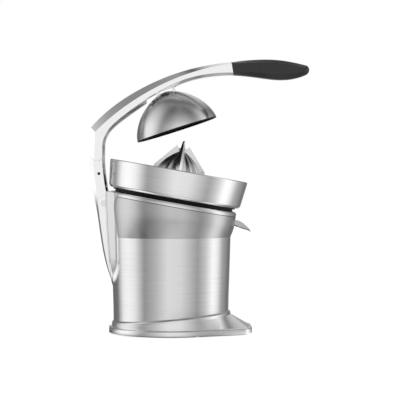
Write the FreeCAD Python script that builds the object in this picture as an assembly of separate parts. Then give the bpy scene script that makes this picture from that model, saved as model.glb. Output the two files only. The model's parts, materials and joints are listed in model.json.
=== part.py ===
import FreeCAD, Part
import math
import os

# Electric citrus press with a lever arm, in millimetres. +X is the front, where the spout is,
# +Z is up and Y is across. The origin is on the body's axis at the surface that the press stands on.

# Body and foot. The collar's radius and the shoulder's height drive everything round the body.
collar_r = 102.4         # outside radius of the collar
shoulder_z = 152.5       # height of the shoulder line
shoulder_r = collar_r - 7.0   # outside radius where the straight wall ends
foot_r = shoulder_r - 3.4     # outside radius of the body where it meets the foot
body_wall = 1.2          # sheet steel of the body
seam_z = 28.0            # height, on the axis, of the joint between body and foot
seam_tilt = 5.0          # degrees that this joint rises to the front
pad_t = 1.6              # rubber pad that the press stands on
pad_inset = 8.0          # how far the pad stays inside the foot's outline
vent_x = -46.0           # cooling slots in the cover, under the motor
rim_top_z = 10.6         # top of the foot's rim
rim_r = foot_r + 7.0     # radius of the foot's plan at the back and sides
rim_edge_r = 3.0         # rounding of the rim's upper edge
nose_x = rim_r + 30.3    # front edge of the foot
nose_half = 50.0         # half the width of that edge
nose_bulge = 2.0         # how far that edge bows out
nose_corner_r = 20.0     # rounding of its corners
flank_step = 5.0         # ledge between the rim's edge and the sloping flank
foot_wall = 4.0          # casting wall of the foot
bead_h = 7.0             # height of the rounded bead under the seam
bead_proud = 3.6         # how far the bead stands out from the body
ramp_half_angle = 4.0    # half the angle that the front ramp spans at the body
cover_t = 2.0            # plate that closes the foot from below
gland_r = 3.9            # cable bush in the back of the foot
gland_bore_r = 3.1
gland_l = 14.0
gland_z = 6.2

# Tilted seat: everything that turns about the reamer's axis is placed from here
drive_tilt = 10.0        # degrees that the reamer's axis leans to the front
seat_x = 3.0             # centre of the seam between body and collar
seat_z = shoulder_z + 49.6
collar_h = 7.5
collar_edge_r = 4.6      # rounding of the collar's upper edge
skirt_r = collar_r + 1.0      # widest radius of the flared cup
skirt_h = 11.3           # depth of the straight band under the collar
lip_in_r = collar_r - 4.4     # inner radius of the body's turned-in lip

# Tub, juice collector and bowl, heights along the tilted axis from the collar's seam
tub_gap = 0.4            # between the tub and the body's lip
tub_r = lip_in_r - tub_gap    # outside radius of the plastic tub under the collar
tub_wall = 2.0
tub_floor = -19.0        # underside of the tub's floor
tub_flange_t = 2.0
tub_flange_w = 2.5       # how far the tub's flange lies on the body's lip
dish_gap = 0.6           # between the juice collector and the tub
collector_r = tub_r - tub_wall - dish_gap
collector_wall = 2.2
collector_foot_r = collector_r - 12.5   # ring that the collector stands on in the tub
collector_foot_w = 2.5
collector_floor = -14.0  # underside of the collector's floor
tube_r = 13.0            # outside radius of the collector's centre tube
tube_top = 18.0
bowl_low = 12.9          # underside of the steel bowl
bowl_h = 44.2
bowl_low_r = collector_r + 10.9
bowl_top_r = bowl_low_r + 5.5
bowl_wall = 1.2
bowl_hook_w = 4.6        # width of the rolled rim's turned-in edge
bowl_lip_r = 2.2         # rolled rim
bowl_heel_r = 6.0        # rounding of the lower corner
basket_floor = 20.0      # underside of the strainer's floor
basket_t = 1.2
basket_low_r = bowl_low_r - 7.9
basket_top_r = bowl_top_r - 3.8
basket_top = 54.0
basket_hub_r = 16.0
slot_w = 2.4             # strainer slots, in an inner and an outer row
inner_slots = (50.0, 66.0, 28)
outer_slots = (basket_low_r - 28.0, basket_low_r - 10.0, 40)

# Reamer
reamer_low = 26.0        # lower edge of the reamer's skirt
reamer_r = 44.5
reamer_tip = 105.0       # height of the fins' common point
reamer_ribs = 18
rib_depth = 0.085        # depth of a flute as a share of the radius
reamer_wall = 3.0
fin_t = 2.0              # blades that stand along the press
blade_edge = 0.6         # half the width of the ridge of the blades that stand across it
crown_r = 6.0            # flat button where the blades meet
crown_top = 92.6
hub_r = 9.0
hub_low = 14.0
reamer_travel = 1.5      # axial travel that starts the motor

# Drive shaft and push rod
shaft_r = 5.0
shaft_top = 55.0
rod_r = 2.0
rod_top = 64.0
seal_r = 8.0             # outside radius of the shaft seal
seal_top = 6.0
run_gap = 0.06           # radial running clearance
drive_pin_r = 1.5
drive_pin_w = 24.0       # height of the cross pin that drives the reamer

# Two-stage gear train, all axes parallel to the tilted axis
pressure_angle = 20.0
small_teeth = 12
large_teeth = 40
module_fast = 1.25
module_slow = 1.5
backlash = 0.16
slow_face = 10.0
fast_face = 6.0
gearbox_top = -22.0      # upper face of the gearbox's lid
lid_t = 3.0
box_wall = 2.5
gear_gap = 1.0           # side clearance of the wheels
idler_angle = 143.0      # where the layshaft stands round the reamer's axis
motor_angle = 262.0      # where the motor's axis stands round the layshaft
idler_shaft_r = 3.0
bearing_r = 11.0         # outside radius of the ball bearing in the lid
ear_r = 4.5              # screw ears of the gearbox
motor_shaft_r = 2.5

# Motor
motor_r = 27.0
motor_l = 60.0
stator_h = motor_l - 26.0
rotor_r = 15.2
air_gap = 0.8
fan_r = 21.0

# Lever arm: outline in the plane of symmetry, height and reach from the hinge pin
hinge_x = -collar_r - 14.4
hinge_z = seat_z + 82.7
knuckle_r = 10.9         # half the thickness of the arm at the hinge
knuckle_gap = 0.4
arm_half = 18.0          # half the width of the arm
arm_flat_half = 11.0     # half the width of the flat top and underside
tongue_half = 7.8        # half the width of the post's tongue
tongue_gap = 0.3
core_half = 7.0          # half the width of the spine's tenon in the post
open_angle = 50.0
press_angle = 28.0
hinge_pin_r = 4.0
bush_r = 6.0
bush_half = 15.4         # from the plane of symmetry to the bush's closed end
grip_half = 19.0
grip_flat_half = 10.0

# Dome, heights along its own axis from the rim's centre
dome_x = hinge_x + 126.7
dome_z = hinge_z + 38.4
dome_tilt = -17.8
dome_r = 66.2
dome_h = 64.0
dome_power = 1.65        # fullness of the dome's curve
dome_wall = 1.2
lip_h = 1.5              # black lip of the liner round the rim
liner_t = 2.3
liner_ribs = 12
hanger_rise = 10.0       # pin's height above the top of the dome
hanger_half = 7.0
dome_pin_r = 2.5
pin_end = 13.5           # from the plane of symmetry to the dome pin's blind end

# Spout
spout_half = 12.0
spout_wall = 1.6
spout_gap = 0.4
spout_low = -15.8        # underside of the spout where it leaves the body
spout_window_top = -2.4
spout_edge = 2.4         # height of the bevel along the spout's lower edges
spout_pin_u = tub_r + 1.0
spout_pin_w = -11.0
spout_pin_r = 1.5

# Rear support
pillar_half = 46.5       # half the width of the hump behind the body
pillar_top_w = 5.0       # its top, along the tilted axis from the collar's seam
pillar_corner = 3.0      # chamfer of its back corners
pillar_seam = 0.6        # width and depth of the line that carries the collar's seam round it
spine_half = 18.0
knee_x = hinge_x + 14.7  # centre of the rounded joint between post and spine
knee_z = seat_z + 0.1
knee_r = 17.0
knee_gap = 0.05
dot_x = hinge_x + 2.6    # cross pin through the post
dot_z = hinge_z - 31.4
dot_r = 2.4
boss_x = hinge_x + 11.0  # bolt between spine and pillar
boss_z = seat_z + 4.0
boss_r = 5.6
boss_proud = 0.9

# Control board in the foot, and the screws
board_x = foot_r - 64.0
board_l = 50.0
board_half = 26.0
board_z = 44.0
board_t = 1.6
board_edge = 4.0         # from the board's edge to the centre of a post
post_r = 3.0
capacitor_r = 10.0
capacitor_h = 30.4
screw_r = 1.6
screw_head_r = 3.0


def vec(x, y, z):
    return FreeCAD.Vector(x, y, z)


def polar(radius, degrees):
    turn = math.radians(degrees)
    return radius * math.cos(turn), radius * math.sin(turn)


def outline(points, y=0.0):
    """Closed wire in the XZ plane. A third number in a point is that corner's radius."""
    edges = []
    ends = []
    count = len(points)
    for i in range(count):
        here = vec(points[i][0], y, points[i][1])
        if len(points[i]) < 3:
            ends.append((here, here))
            continue
        radius = points[i][2]
        back = vec(points[i - 1][0], y, points[i - 1][1]) - here
        ahead = vec(points[(i + 1) % count][0], y, points[(i + 1) % count][1]) - here
        back.normalize()
        ahead.normalize()
        half = back.getAngle(ahead) / 2
        reach = radius / math.tan(half)
        middle = back + ahead
        middle.normalize()
        first = here + back * reach
        last = here + ahead * reach
        top = here + middle * (radius / math.sin(half) - radius)
        edges.append((i, Part.Arc(first, top, last).toShape()))
        ends.append((first, last))
    chain = []
    arcs = dict(edges)
    for i in range(count):
        if i in arcs:
            chain.append(arcs[i])
        start = ends[i][1]
        stop = ends[(i + 1) % count][0]
        if start.distanceToPoint(stop) > 1e-6:
            chain.append(Part.LineSegment(start, stop).toShape())
    return Part.Wire(chain)


def turned(points):
    """Solid of revolution about Z from a closed outline of (radius, height)."""
    return Part.Face(outline(points)).revolve(vec(0, 0, 0), vec(0, 0, 1), 360)


def slab(wire, y_low, y_high):
    """Outline in the XZ plane given depth across the part."""
    face = Part.Face(wire)
    face.translate(vec(0, y_low, 0))
    return face.extrude(vec(0, y_high - y_low, 0))


def rod(radius, low, high, x=0.0, y=0.0):
    return Part.makeCylinder(radius, high - low, vec(x, y, low))


def cross_rod(radius, x, z, y_low, y_high):
    return Part.makeCylinder(radius, y_high - y_low, vec(x, y_low, z), vec(0, 1, 0))


def block(x_low, x_high, y_low, y_high, z_low, z_high):
    return Part.makeBox(x_high - x_low, y_high - y_low, z_high - z_low, vec(x_low, y_low, z_low))


def shifted(points, x, z):
    return [(x + point[0], z + point[1]) + tuple(point[2:]) for point in points]


def placed(shape, x, z, tilt):
    """Copy of a shape turned about Y and moved within the plane of symmetry."""
    copy = shape.copy()
    where = FreeCAD.Placement(vec(x, 0, z), FreeCAD.Rotation(vec(0, 1, 0), tilt))
    copy.Placement = where.multiply(copy.Placement)
    return copy


def on_drive(shape):
    return placed(shape, seat_x, seat_z, drive_tilt)


def on_dome(shape):
    return placed(shape, dome_x, dome_z, dome_tilt)


def on_seam(shape):
    return placed(shape, 0, seam_z, -seam_tilt)


def turned_about_hinge(shape, degrees):
    copy = shape.copy()
    copy.rotate(vec(hinge_x, 0, hinge_z), vec(0, 1, 0), degrees)
    return copy


def ring_copies(shape, count, first=0.0):
    """Copies of a shape spread round the Z axis."""
    copies = []
    for i in range(count):
        copy = shape.copy()
        copy.rotate(vec(0, 0, 0), vec(0, 0, 1), first + 360.0 * i / count)
        copies.append(copy)
    return copies


def straight(first, last):
    return Part.makeLine(vec(first[0], 0, first[1]), vec(last[0], 0, last[1]))


def spline(points):
    curve = Part.BSplineCurve()
    curve.interpolate([vec(x, 0, z) for x, z in points])
    return curve.toShape()


# Body and collar

def body_radius(z):
    return foot_r + (shoulder_r - foot_r) * (z - seam_z) / (shoulder_z - seam_z)


def straight_body(inset):
    low = seam_z - 20
    return Part.makeCone(body_radius(low) - inset, shoulder_r - inset, shoulder_z - low, vec(0, 0, low))


def flare(inset, top):
    """Cup that leans from the level shoulder line to the tilted collar."""
    wires = []
    steps = 3
    lean = math.radians(drive_tilt)
    high_x = seat_x - skirt_h * math.sin(lean)
    high_z = seat_z - skirt_h * math.cos(lean)
    for i in range(steps + 1):
        share = i / steps
        radius = shoulder_r + (skirt_r - shoulder_r) * share - inset
        circle = Part.Wire(Part.makeCircle(radius))
        z = shoulder_z + (high_z - shoulder_z) * share
        wires.append(placed(circle, high_x * share, z, drive_tilt * share))
    cup = Part.makeLoft(wires, True, False)
    band = on_drive(Part.makeCone(skirt_r - inset, collar_r - inset, skirt_h + top, vec(0, 0, -skirt_h)))
    return cup.fuse(band)


def body_solid(inset, top):
    return straight_body(inset).fuse(flare(inset, top))


def below_seam():
    return on_seam(block(-200, 200, -200, 200, -80, 0))


def spout_window(side_gap):
    half = spout_half + side_gap
    far = skirt_r + 11.6
    return on_drive(block(collector_r - 2, far, -half, half, spout_low - 1.2, spout_window_top))


def body_shell():
    hollow = body_solid(body_wall, -body_wall)
    shell = body_solid(0, 0).cut(hollow).cut(below_seam())
    shell = shell.cut(on_drive(rod(lip_in_r, -5, 5)))
    return shell.cut(spout_window(1.2))


def collar_ring():
    inner = collector_r + 1.0
    over = tub_flange_t + 0.1
    step_r = lip_in_r + tub_flange_w + 0.3
    points = [(collar_r, 0), (collar_r, collar_h, collar_edge_r), (inner, collar_h), (inner, over),
              (step_r, over), (step_r, 0)]
    return on_drive(turned(points))


# Foot

def foot_outline(z, inset):
    """Plan of the foot: an arc round the back, straight sides and a bowed front edge."""
    radius = rim_r - inset
    front = nose_x - nose_bulge - inset
    half = nose_half - inset * 0.7
    turn = math.degrees(math.atan2(half, front) + math.acos(radius / math.hypot(front, half)))
    side_x, side_y = polar(radius, turn)
    left = vec(side_x, side_y, z)
    right = vec(side_x, -side_y, z)
    nose_left = vec(front, half, z)
    nose_right = vec(front, -half, z)
    edges = [Part.Arc(left, vec(-radius, 0, z), right).toShape(), Part.makeLine(right, nose_right),
             Part.Arc(nose_right, vec(front + nose_bulge, 0, z), nose_left).toShape(),
             Part.makeLine(nose_left, left)]
    return Part.Wire(edges), turn


def foot_slab(z_low, z_high, inset):
    plan, turn = foot_outline(z_low, inset)
    plate = Part.Face(plan).extrude(vec(0, 0, z_high - z_low))
    front = nose_x - nose_bulge - inset - 1
    corners = [e for e in plate.Edges if e.BoundBox.ZLength > 0.5 and e.BoundBox.XMin > front]
    return plate.makeFillet(nose_corner_r - inset, corners)


def flank():
    """Sloping skirt of the foot, from the rim up to the bead, with a ramp to the front."""
    low, turn = foot_outline(rim_top_z, flank_step)
    radius = foot_r + bead_proud - 0.6
    stops = [turn, 360 - turn, 360 - ramp_half_angle, 360 + ramp_half_angle, 360 + turn]
    edges = []
    for i in range(4):
        ends = []
        for degrees in (stops[i], (stops[i] + stops[i + 1]) / 2, stops[i + 1]):
            x, y = polar(radius, degrees)
            ends.append(vec(x, y, 0))
        edges.append(Part.Arc(*ends).toShape())
    high = placed(Part.Wire(edges), 0, seam_z - bead_h + 0.4, -seam_tilt)
    return Part.makeLoft([low, high], True, True)


def base_casting():
    rim = foot_slab(pad_t, rim_top_z, 0)
    upper = [e for e in rim.Edges if e.BoundBox.ZMin > rim_top_z - 0.01]
    rim = rim.makeFillet(rim_edge_r, upper)
    bead = [(foot_r - 8, 0), (foot_r + 0.4, 0), (foot_r + bead_proud, -bead_h * 0.45, 2.4),
            (foot_r + bead_proud - 1.0, -bead_h), (foot_r - 8, -bead_h)]
    casting = rim.fuse([flank(), on_seam(turned(bead))])
    pocket = foot_slab(pad_t - 1, rim_top_z - 3, foot_wall + 3)
    ramp_top = seam_z - foot_wall - 2
    under_ramp = outline([(foot_r - 30, 0), (foot_r - 30, ramp_top), (foot_r - 6, ramp_top),
                          (nose_x - 17, rim_top_z - 3), (nose_x - 17, 0)])
    casting = casting.cut(pocket).cut(rod(foot_r - 10, 0, 60))
    casting = casting.cut(slab(under_ramp, -nose_half * 0.7, nose_half * 0.7))
    casting = casting.cut(foot_slab(pad_t - 1, pad_t + cover_t, foot_wall))
    for x, y in cover_screw_places():
        casting = casting.fuse(rod(5.5, pad_t + cover_t, rim_top_z + 2, x, y))
    for x, y in cover_screw_places():
        casting = casting.cut(rod(screw_r, pad_t, rim_top_z, x, y))
    return casting.cut(cable_gland_space()).removeSplitter()


def cover_screw_places():
    places = [polar(rim_r - 11.0, degrees) for degrees in (62, 145, 215, 298)]
    return places + [(nose_x - 24, 0.0)]


def bottom_cover():
    plate = foot_slab(pad_t, pad_t + cover_t, foot_wall + 0.3)
    for x, y in cover_screw_places():
        plate = plate.cut(rod(screw_r + 0.2, 0, 10, x, y))
    for row in range(5):
        plate = plate.cut(block(vent_x - 14, vent_x + 14, -13 + 6 * row, -10 + 6 * row, 0, 10))
    return plate.cut(block(-rim_r, gland_l - rim_r + 1, -gland_r - 0.4, gland_r + 0.4, 0, 10))


def non_slip_pad():
    pad = foot_slab(0, pad_t, pad_inset)
    for x, y in cover_screw_places():
        pad = pad.cut(rod(screw_head_r + 1, -1, 10, x, y))
    return pad.cut(block(vent_x - 17, vent_x + 17, -16, 17, -1, 10))


def screw(length, head_t=1.8):
    """Pan-head screw with its head's underside at zero and its shank going up."""
    head = turned([(0, -head_t), (screw_head_r - 0.8, -head_t), (screw_head_r, 0.7 - head_t),
                   (screw_head_r, 0),
                   (0, 0)])
    return head.fuse(rod(screw_r, 0, length)).removeSplitter()


def cover_screws():
    made = []
    for x, y in cover_screw_places():
        copy = screw(7.0, pad_t - 0.4)
        copy.translate(vec(x, y, pad_t))
        made.append(copy)
    return Part.makeCompound(made)


def cable_gland_space():
    solid = rod(gland_r + 0.5, -20, 1.5).fuse(rod(gland_r, 0, gland_l + 20))
    return lying_at_back(solid)


def lying_at_back(shape):
    copy = shape.copy()
    copy.rotate(vec(0, 0, 0), vec(0, 1, 0), 90)
    copy.translate(vec(0.1 - rim_r, 0, gland_z))
    return copy


def cable_gland():
    return lying_at_back(turned([(gland_bore_r, 0), (gland_r + 0.5, 0), (gland_r + 0.5, 1.5), (gland_r, 1.5),
                                 (gland_r, gland_l), (gland_bore_r, gland_l)]))


# Tub, collector, bowl and strainer

def deck_tub():
    top = tub_flange_t
    floor = tub_floor + tub_wall
    flange_r = lip_in_r + tub_flange_w
    neck_r = seal_r + tub_wall
    points = [(seal_r, tub_floor), (tub_r, tub_floor), (tub_r, 0), (flange_r, 0),
              (flange_r, top), (tub_r - tub_wall, top), (tub_r - tub_wall, floor),
              (neck_r, floor), (neck_r, seal_top), (seal_r, seal_top)]
    ears = []
    for side in (-1, 1):
        low, high = sorted((side * (spout_half + spout_gap), side * (spout_half + 3.2)))
        ears.append(block(tub_r - 1.5, spout_pin_u + 2.2, low, high, spout_pin_w - 2.6, spout_pin_w + 2.6))
    holes = cross_rod(spout_pin_r, spout_pin_u, spout_pin_w, -spout_half - 3, spout_half + 3)
    tub = turned(points).fuse(ears)
    return on_drive(tub.cut(holes)).cut(spout_window(spout_gap))


def shaft_seal():
    low = seal_top - 5.0
    return on_drive(turned([(shaft_r + run_gap, low), (seal_r, low), (seal_r, seal_top),
                            (seal_r - 1.2, seal_top), (seal_r - 1.2, low + 2),
                                    (shaft_r + run_gap, low + 2)]))


def juice_collector():
    """Dish under the bowl: its rim's ledge carries the bowl and its floor drains to the spout."""
    top = bowl_low + bowl_wall + 1.5
    floor = collector_floor + collector_wall
    ledge = bowl_low - 2.0
    foot_low = tub_floor + tub_wall
    ledge_r = collector_r + 3.5
    inner = collector_r - collector_wall
    foot_in = collector_foot_r - collector_foot_w
    points = [(tube_r - 2, collector_floor), (foot_in, collector_floor), (foot_in, foot_low),
              (collector_foot_r, foot_low), (collector_foot_r, collector_floor),
              (collector_r, collector_floor, 5.0), (collector_r, ledge), (ledge_r, ledge),
                      (ledge_r, bowl_low),
              (collector_r, bowl_low), (collector_r, top), (inner, top), (inner, floor, 3.0),
                      (tube_r, floor),
              (tube_r, tube_top), (tube_r - 2, tube_top)]
    opening_half = spout_half - spout_wall - 1
    opening = block(collector_r - 6, collector_r + 2, -opening_half, opening_half, floor + 0.4, -6.5)
    return on_drive(turned(points).cut(opening).removeSplitter())


def bowl_skirt():
    top = bowl_low + bowl_h
    inner_low = bowl_low_r - bowl_wall
    points = [(collector_r + 0.3, bowl_low), (bowl_low_r, bowl_low, bowl_heel_r),
              (bowl_top_r, top, bowl_lip_r),
              (bowl_top_r - bowl_hook_w, top), (bowl_top_r - bowl_hook_w, top - bowl_wall),
              (bowl_top_r - bowl_wall - 0.6, top - bowl_wall),
              (inner_low, bowl_low + bowl_wall, bowl_heel_r - bowl_wall),
                      (collector_r + 0.3, bowl_low + bowl_wall)]
    return on_drive(turned(points))


def filter_basket():
    seat = bowl_low + bowl_wall
    points = [(basket_hub_r, basket_floor), (basket_low_r - 2, basket_floor), (basket_low_r - 2, seat),
              (basket_low_r - 0.8, seat), (basket_low_r - 0.8, basket_floor), (basket_low_r, basket_floor),
              (basket_top_r, basket_top), (basket_top_r - 1.2, basket_top + 1.0),
              (basket_low_r - basket_t, basket_floor + basket_t),
                      (basket_hub_r + basket_t, basket_floor + basket_t),
              (basket_hub_r + basket_t, basket_floor + 5), (basket_hub_r, basket_floor + 5)]
    basket = turned(points)
    cutters = []
    for near, far, count in (inner_slots, outer_slots):
        slot = block(near, far, -slot_w / 2, slot_w / 2, basket_floor - 1, basket_floor + basket_t + 1)
        cutters += ring_copies(slot, count)
    return on_drive(basket.cut(cutters))


# Reamer

def rib_profile():
    """Radius and height of the ribs' crests, from the skirt to the crown."""
    stations = ((1.0, 8.0), (0.921, 22.0), (0.778, 34.0), (0.629, 43.0), (0.461, 50.5), (0.292, 56.5),
                (0.124, 61.0))
    return [(reamer_r * share, reamer_low + rise) for share, rise in stations]


def fluted_section(radius, height):
    points = []
    for i in range(reamer_ribs * 2):
        share = 1.0 if i % 2 == 0 else 1.0 - rib_depth
        x, y = polar(radius * share, 180.0 * i / reamer_ribs)
        points.append(vec(x, y, height))
    return Part.makePolygon(points + [points[0]])


def long_blades():
    """Pair of thin blades along the press, notched where they meet the crown."""
    low = rib_profile()[0][1]
    notch = crown_top - 0.6
    tip = crown_top + 4.4
    out = reamer_r * 0.921
    points = [(-reamer_r, low), (reamer_r, low), (out, 61.0), (crown_r + 4, tip), (crown_r - 0.6, notch),
              (0.6 - crown_r, notch), (-crown_r - 4, tip), (-out, 61.0)]
    return slab(outline(points), -fin_t / 2, fin_t / 2)


def cross_blades():
    """Pair of blades across the press: thick at the axis and drawn out to a ridge at each end."""
    low = rib_profile()[0][1]
    stations = ((reamer_r, 4.6, low), (reamer_r * 0.921, 4.6, 60.5), (reamer_r * 0.562, 4.4, 80.0),
                (reamer_r * 0.27, 3.7, 92.0), (6.5, 3.0, 97.0), (3.0, 2.3, reamer_tip - 2.5),
                (1.4, 1.2, reamer_tip))
    sections = []
    for reach, half, height in stations:
        corners = [(half, 0), (blade_edge, reach), (-blade_edge, reach), (-half, 0), (-blade_edge, -reach),
                   (blade_edge, -reach)]
        loop = [vec(x, y, height) for x, y in corners]
        sections.append(Part.makePolygon(loop + [loop[0]]))
    return Part.makeLoft(sections, True, True)


def reamer_cone():
    sections = [fluted_section(radius, height) for radius, height in rib_profile()]
    cone = Part.makeLoft(sections, True, True)
    skirt = rod(reamer_r, reamer_low, rib_profile()[0][1])
    inside = []
    for radius, height in rib_profile()[:5]:
        inside.append((radius * (1 - rib_depth) - reamer_wall, height - reamer_wall * 0.8))
    low = reamer_low - 1
    hollow = [(0, low), (inside[0][0], low)] + inside + [(0, inside[-1][1])]
    blades = long_blades().fuse(cross_blades())
    body = cone.fuse([skirt, blades]).cut(turned(hollow))
    hub_top = 78.0
    body = body.fuse([rod(hub_r, hub_low, hub_top), rod(crown_r, hub_top, crown_top)])
    body = body.cut([rod(shaft_r + run_gap, hub_low - 1, shaft_top + 2.2), rod(rod_r, shaft_top, rod_top)])
    slot_top = drive_pin_w + drive_pin_r + reamer_travel + 0.6
    slot = block(-20, 20, -drive_pin_r - 0.2, drive_pin_r + 0.2, hub_low - 1, slot_top)
    inside = rod(hub_r + 0.5, hub_low - 2, slot_top + 5)
    return on_drive(body.cut(slot.common(inside)).removeSplitter())


def push_rod():
    return on_drive(rod(rod_r, rod_low, rod_top))


# Gear train

def involute(angle):
    return math.tan(angle) - angle


def spur_gear(teeth, module, face, first_degrees=0.0):
    """Involute spur wheel from z = 0 up, with one tooth centred on the given direction."""
    pitch = module * teeth / 2
    base = pitch * math.cos(math.radians(pressure_angle))
    tip = pitch + module * 0.96
    root = pitch - module * 1.25
    half = math.pi / (2 * teeth) - backlash / (2 * pitch)
    spread = half + involute(math.radians(pressure_angle))
    start = max(base, root)
    flank_points = []
    for share in (0.0, 0.45, 1.0):
        radius = start + (tip - start) * share
        flank_points.append((radius, spread - involute(math.acos(min(1.0, base / radius)))))
    points = []
    for i in range(teeth):
        middle = math.radians(first_degrees) + 2 * math.pi * i / teeth
        points.append((root, middle - flank_points[0][1]))
        for radius, off in flank_points:
            points.append((radius, middle - off))
        for radius, off in reversed(flank_points):
            points.append((radius, middle + off))
        points.append((root, middle + flank_points[0][1]))
    corners = []
    for radius, turn in points:
        corner = vec(radius * math.cos(turn), radius * math.sin(turn), 0)
        if not corners or corner.distanceToPoint(corners[-1]) > 1e-4:
            corners.append(corner)
    return Part.Face(Part.makePolygon(corners + [corners[0]])).extrude(vec(0, 0, face))


slow_distance = module_slow * (small_teeth + large_teeth) / 2
fast_distance = module_fast * (small_teeth + large_teeth) / 2
idler_u, idler_v = polar(slow_distance, idler_angle)
motor_du, motor_dv = polar(fast_distance, motor_angle)
motor_u = idler_u + motor_du
motor_v = idler_v + motor_dv

slow_top = gearbox_top - lid_t - 4.0
slow_low = slow_top - slow_face
fast_top = slow_low - 3.5
fast_low = fast_top - fast_face
box_floor = fast_low - 4.0
box_low = box_floor - lid_t
rod_low = box_low - 1.0


def output_shaft():
    shaft = rod(shaft_r, box_low + 0.4, shaft_top)
    collar = rod(shaft_r + 2.5, gearbox_top + 0.6, gearbox_top + 2.2)
    bore = rod(rod_r + run_gap, box_low - 1, shaft_top + 1)
    cross = Part.makeCylinder(drive_pin_r, 40, vec(-20, 0, drive_pin_w), vec(1, 0, 0))
    return on_drive(shaft.fuse(collar).cut([bore, cross]).removeSplitter())


def drive_pin():
    sides = []
    for low, high in ((-hub_r + 0.6, -rod_r - run_gap), (rod_r + run_gap, hub_r - 0.6)):
        sides.append(Part.makeCylinder(drive_pin_r, high - low, vec(low, 0, drive_pin_w), vec(1, 0, 0)))
    return on_drive(Part.makeCompound(sides))


def output_gear():
    wheel = spur_gear(large_teeth, module_slow, slow_face, idler_angle + 180.0 / large_teeth)
    web = turned([(11, -1), (24, -1), (24, 3), (11, 3)])
    wheel = wheel.cut([web, turned([(11, 7), (24, 7), (24, 11), (11, 11)]), rod(shaft_r, -1, 11)])
    wheel.translate(vec(0, 0, slow_low))
    return on_drive(wheel)


def idler_gear():
    """Compound wheel: a small pinion on the slow stage and a large wheel on the fast one."""
    pinion = spur_gear(small_teeth, module_slow, slow_face + 2, idler_angle + 180)
    pinion.translate(vec(0, 0, slow_low - 1))
    boss = rod(idler_shaft_r + 3.5, fast_top, slow_low - 1)
    wheel = spur_gear(large_teeth, module_fast, fast_face, motor_angle)
    wheel.translate(vec(0, 0, fast_low))
    pocket = turned([(9, fast_low - 1), (20, fast_low - 1), (20, fast_low + 2), (9, fast_low + 2)])
    whole = pinion.fuse([boss, wheel]).cut([pocket, rod(idler_shaft_r + run_gap, box_low - 5, 0)])
    whole.translate(vec(idler_u, idler_v, 0))
    return on_drive(whole.removeSplitter())


def idler_shaft():
    return on_drive(rod(idler_shaft_r, box_floor - 2.0, gearbox_top - 1.0, idler_u, idler_v))


def motor_pinion():
    pinion = spur_gear(small_teeth, module_fast, fast_face + 2, motor_angle + 180 + 180.0 / small_teeth)
    pinion.translate(vec(0, 0, fast_low - 1))
    pinion = pinion.cut(rod(motor_shaft_r, -200, 0))
    pinion.translate(vec(motor_u, motor_v, 0))
    return on_drive(pinion)


def box_plan(grow, low, high):
    """Hull of the two gear wheels and the motor's flange, as the gearbox's plan."""
    big_r = module_slow * large_teeth / 2 + module_slow + gear_gap + grow
    lay_r = module_fast * large_teeth / 2 + module_fast + gear_gap + grow
    motor_side = module_fast * small_teeth / 2 + 4.0 + grow
    shape = rod(big_r, low, high)
    shape = shape.fuse([rod(lay_r, low, high, idler_u, idler_v),
                        rod(motor_side, low, high, motor_u, motor_v)])
    return shape.removeSplitter()


def box_screw_places():
    out = module_slow * large_teeth / 2 + module_slow + gear_gap + box_wall + screw_head_r + 0.4
    return [polar(out, degrees) for degrees in (20, 75, 255, 315)]


def motor_screw_places():
    return [polar(14.0, degrees) for degrees in (40, 160, 280)]


def gearbox_housing():
    box = box_plan(box_wall, box_low, gearbox_top - lid_t)
    ears = [rod(ear_r, box_low + 6, gearbox_top - lid_t, x, y) for x, y in box_screw_places()]
    hollow = box_plan(0, box_floor, gearbox_top)
    box = box.fuse(ears).cut(hollow)
    boss = rod(shaft_r + 4.5, box_low - 3, fast_low - 0.6)
    lay_boss = rod(idler_shaft_r + 3, box_low, fast_low - 0.6, idler_u, idler_v)
    box = box.fuse([boss, lay_boss])
    cuts = [rod(shaft_r + 2, box_low + 0.2, gearbox_top), rod(rod_r + 0.5, box_low - 5, gearbox_top),
            rod(idler_shaft_r, box_floor - 2.0, gearbox_top, idler_u, idler_v),
            rod(9.0, box_low - 1, box_floor + 1, motor_u, motor_v)]
    cuts += [rod(screw_r, box_low, gearbox_top, x, y) for x, y in box_screw_places()]
    cuts += [rod(screw_r, box_low, box_low + 2.5, motor_u + x, motor_v + y) for x, y in motor_screw_places()]
    return on_drive(box.cut(cuts).removeSplitter())


def gearbox_lid():
    lid = box_plan(box_wall, gearbox_top - lid_t, gearbox_top)
    ears = [rod(ear_r, gearbox_top - lid_t, tub_floor, x, y) for x, y in box_screw_places()]
    lid = lid.fuse(ears)
    lid = lid.fuse(rod(idler_shaft_r + 3, slow_top + 2.4, gearbox_top - lid_t, idler_u, idler_v))
    cuts = [rod(bearing_r, gearbox_top - lid_t - 1, gearbox_top + 1),
            rod(idler_shaft_r, slow_top, gearbox_top - 1.0, idler_u, idler_v)]
    cuts += [rod(screw_r, box_low, tub_floor, x, y) for x, y in box_screw_places()]
    return on_drive(lid.cut(cuts).removeSplitter())


def gearbox_screws():
    made = []
    for x, y in box_screw_places():
        copy = screw(gearbox_top - lid_t - box_low - 6 + 5.5)
        copy.translate(vec(x, y, box_low + 6))
        made.append(on_drive(copy))
    return Part.makeCompound(made)


def ball_bearing(inner, outer, width):
    """Two races and the balls between them, drawn as one ring with a groove each side."""
    middle = (inner + outer) / 2
    return turned([(inner, 0), (middle - 1.2, 0), (middle - 1.2, 0.8), (middle + 1.2, 0.8),
                   (middle + 1.2, 0),
                   (outer, 0), (outer, width), (middle + 1.2, width), (middle + 1.2, width - 0.8),
                   (middle - 1.2, width - 0.8), (middle - 1.2, width), (inner, width)])


def output_bearing():
    bearing = ball_bearing(shaft_r + run_gap, bearing_r, lid_t)
    bearing.translate(vec(0, 0, gearbox_top - lid_t))
    return on_drive(bearing)


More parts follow.
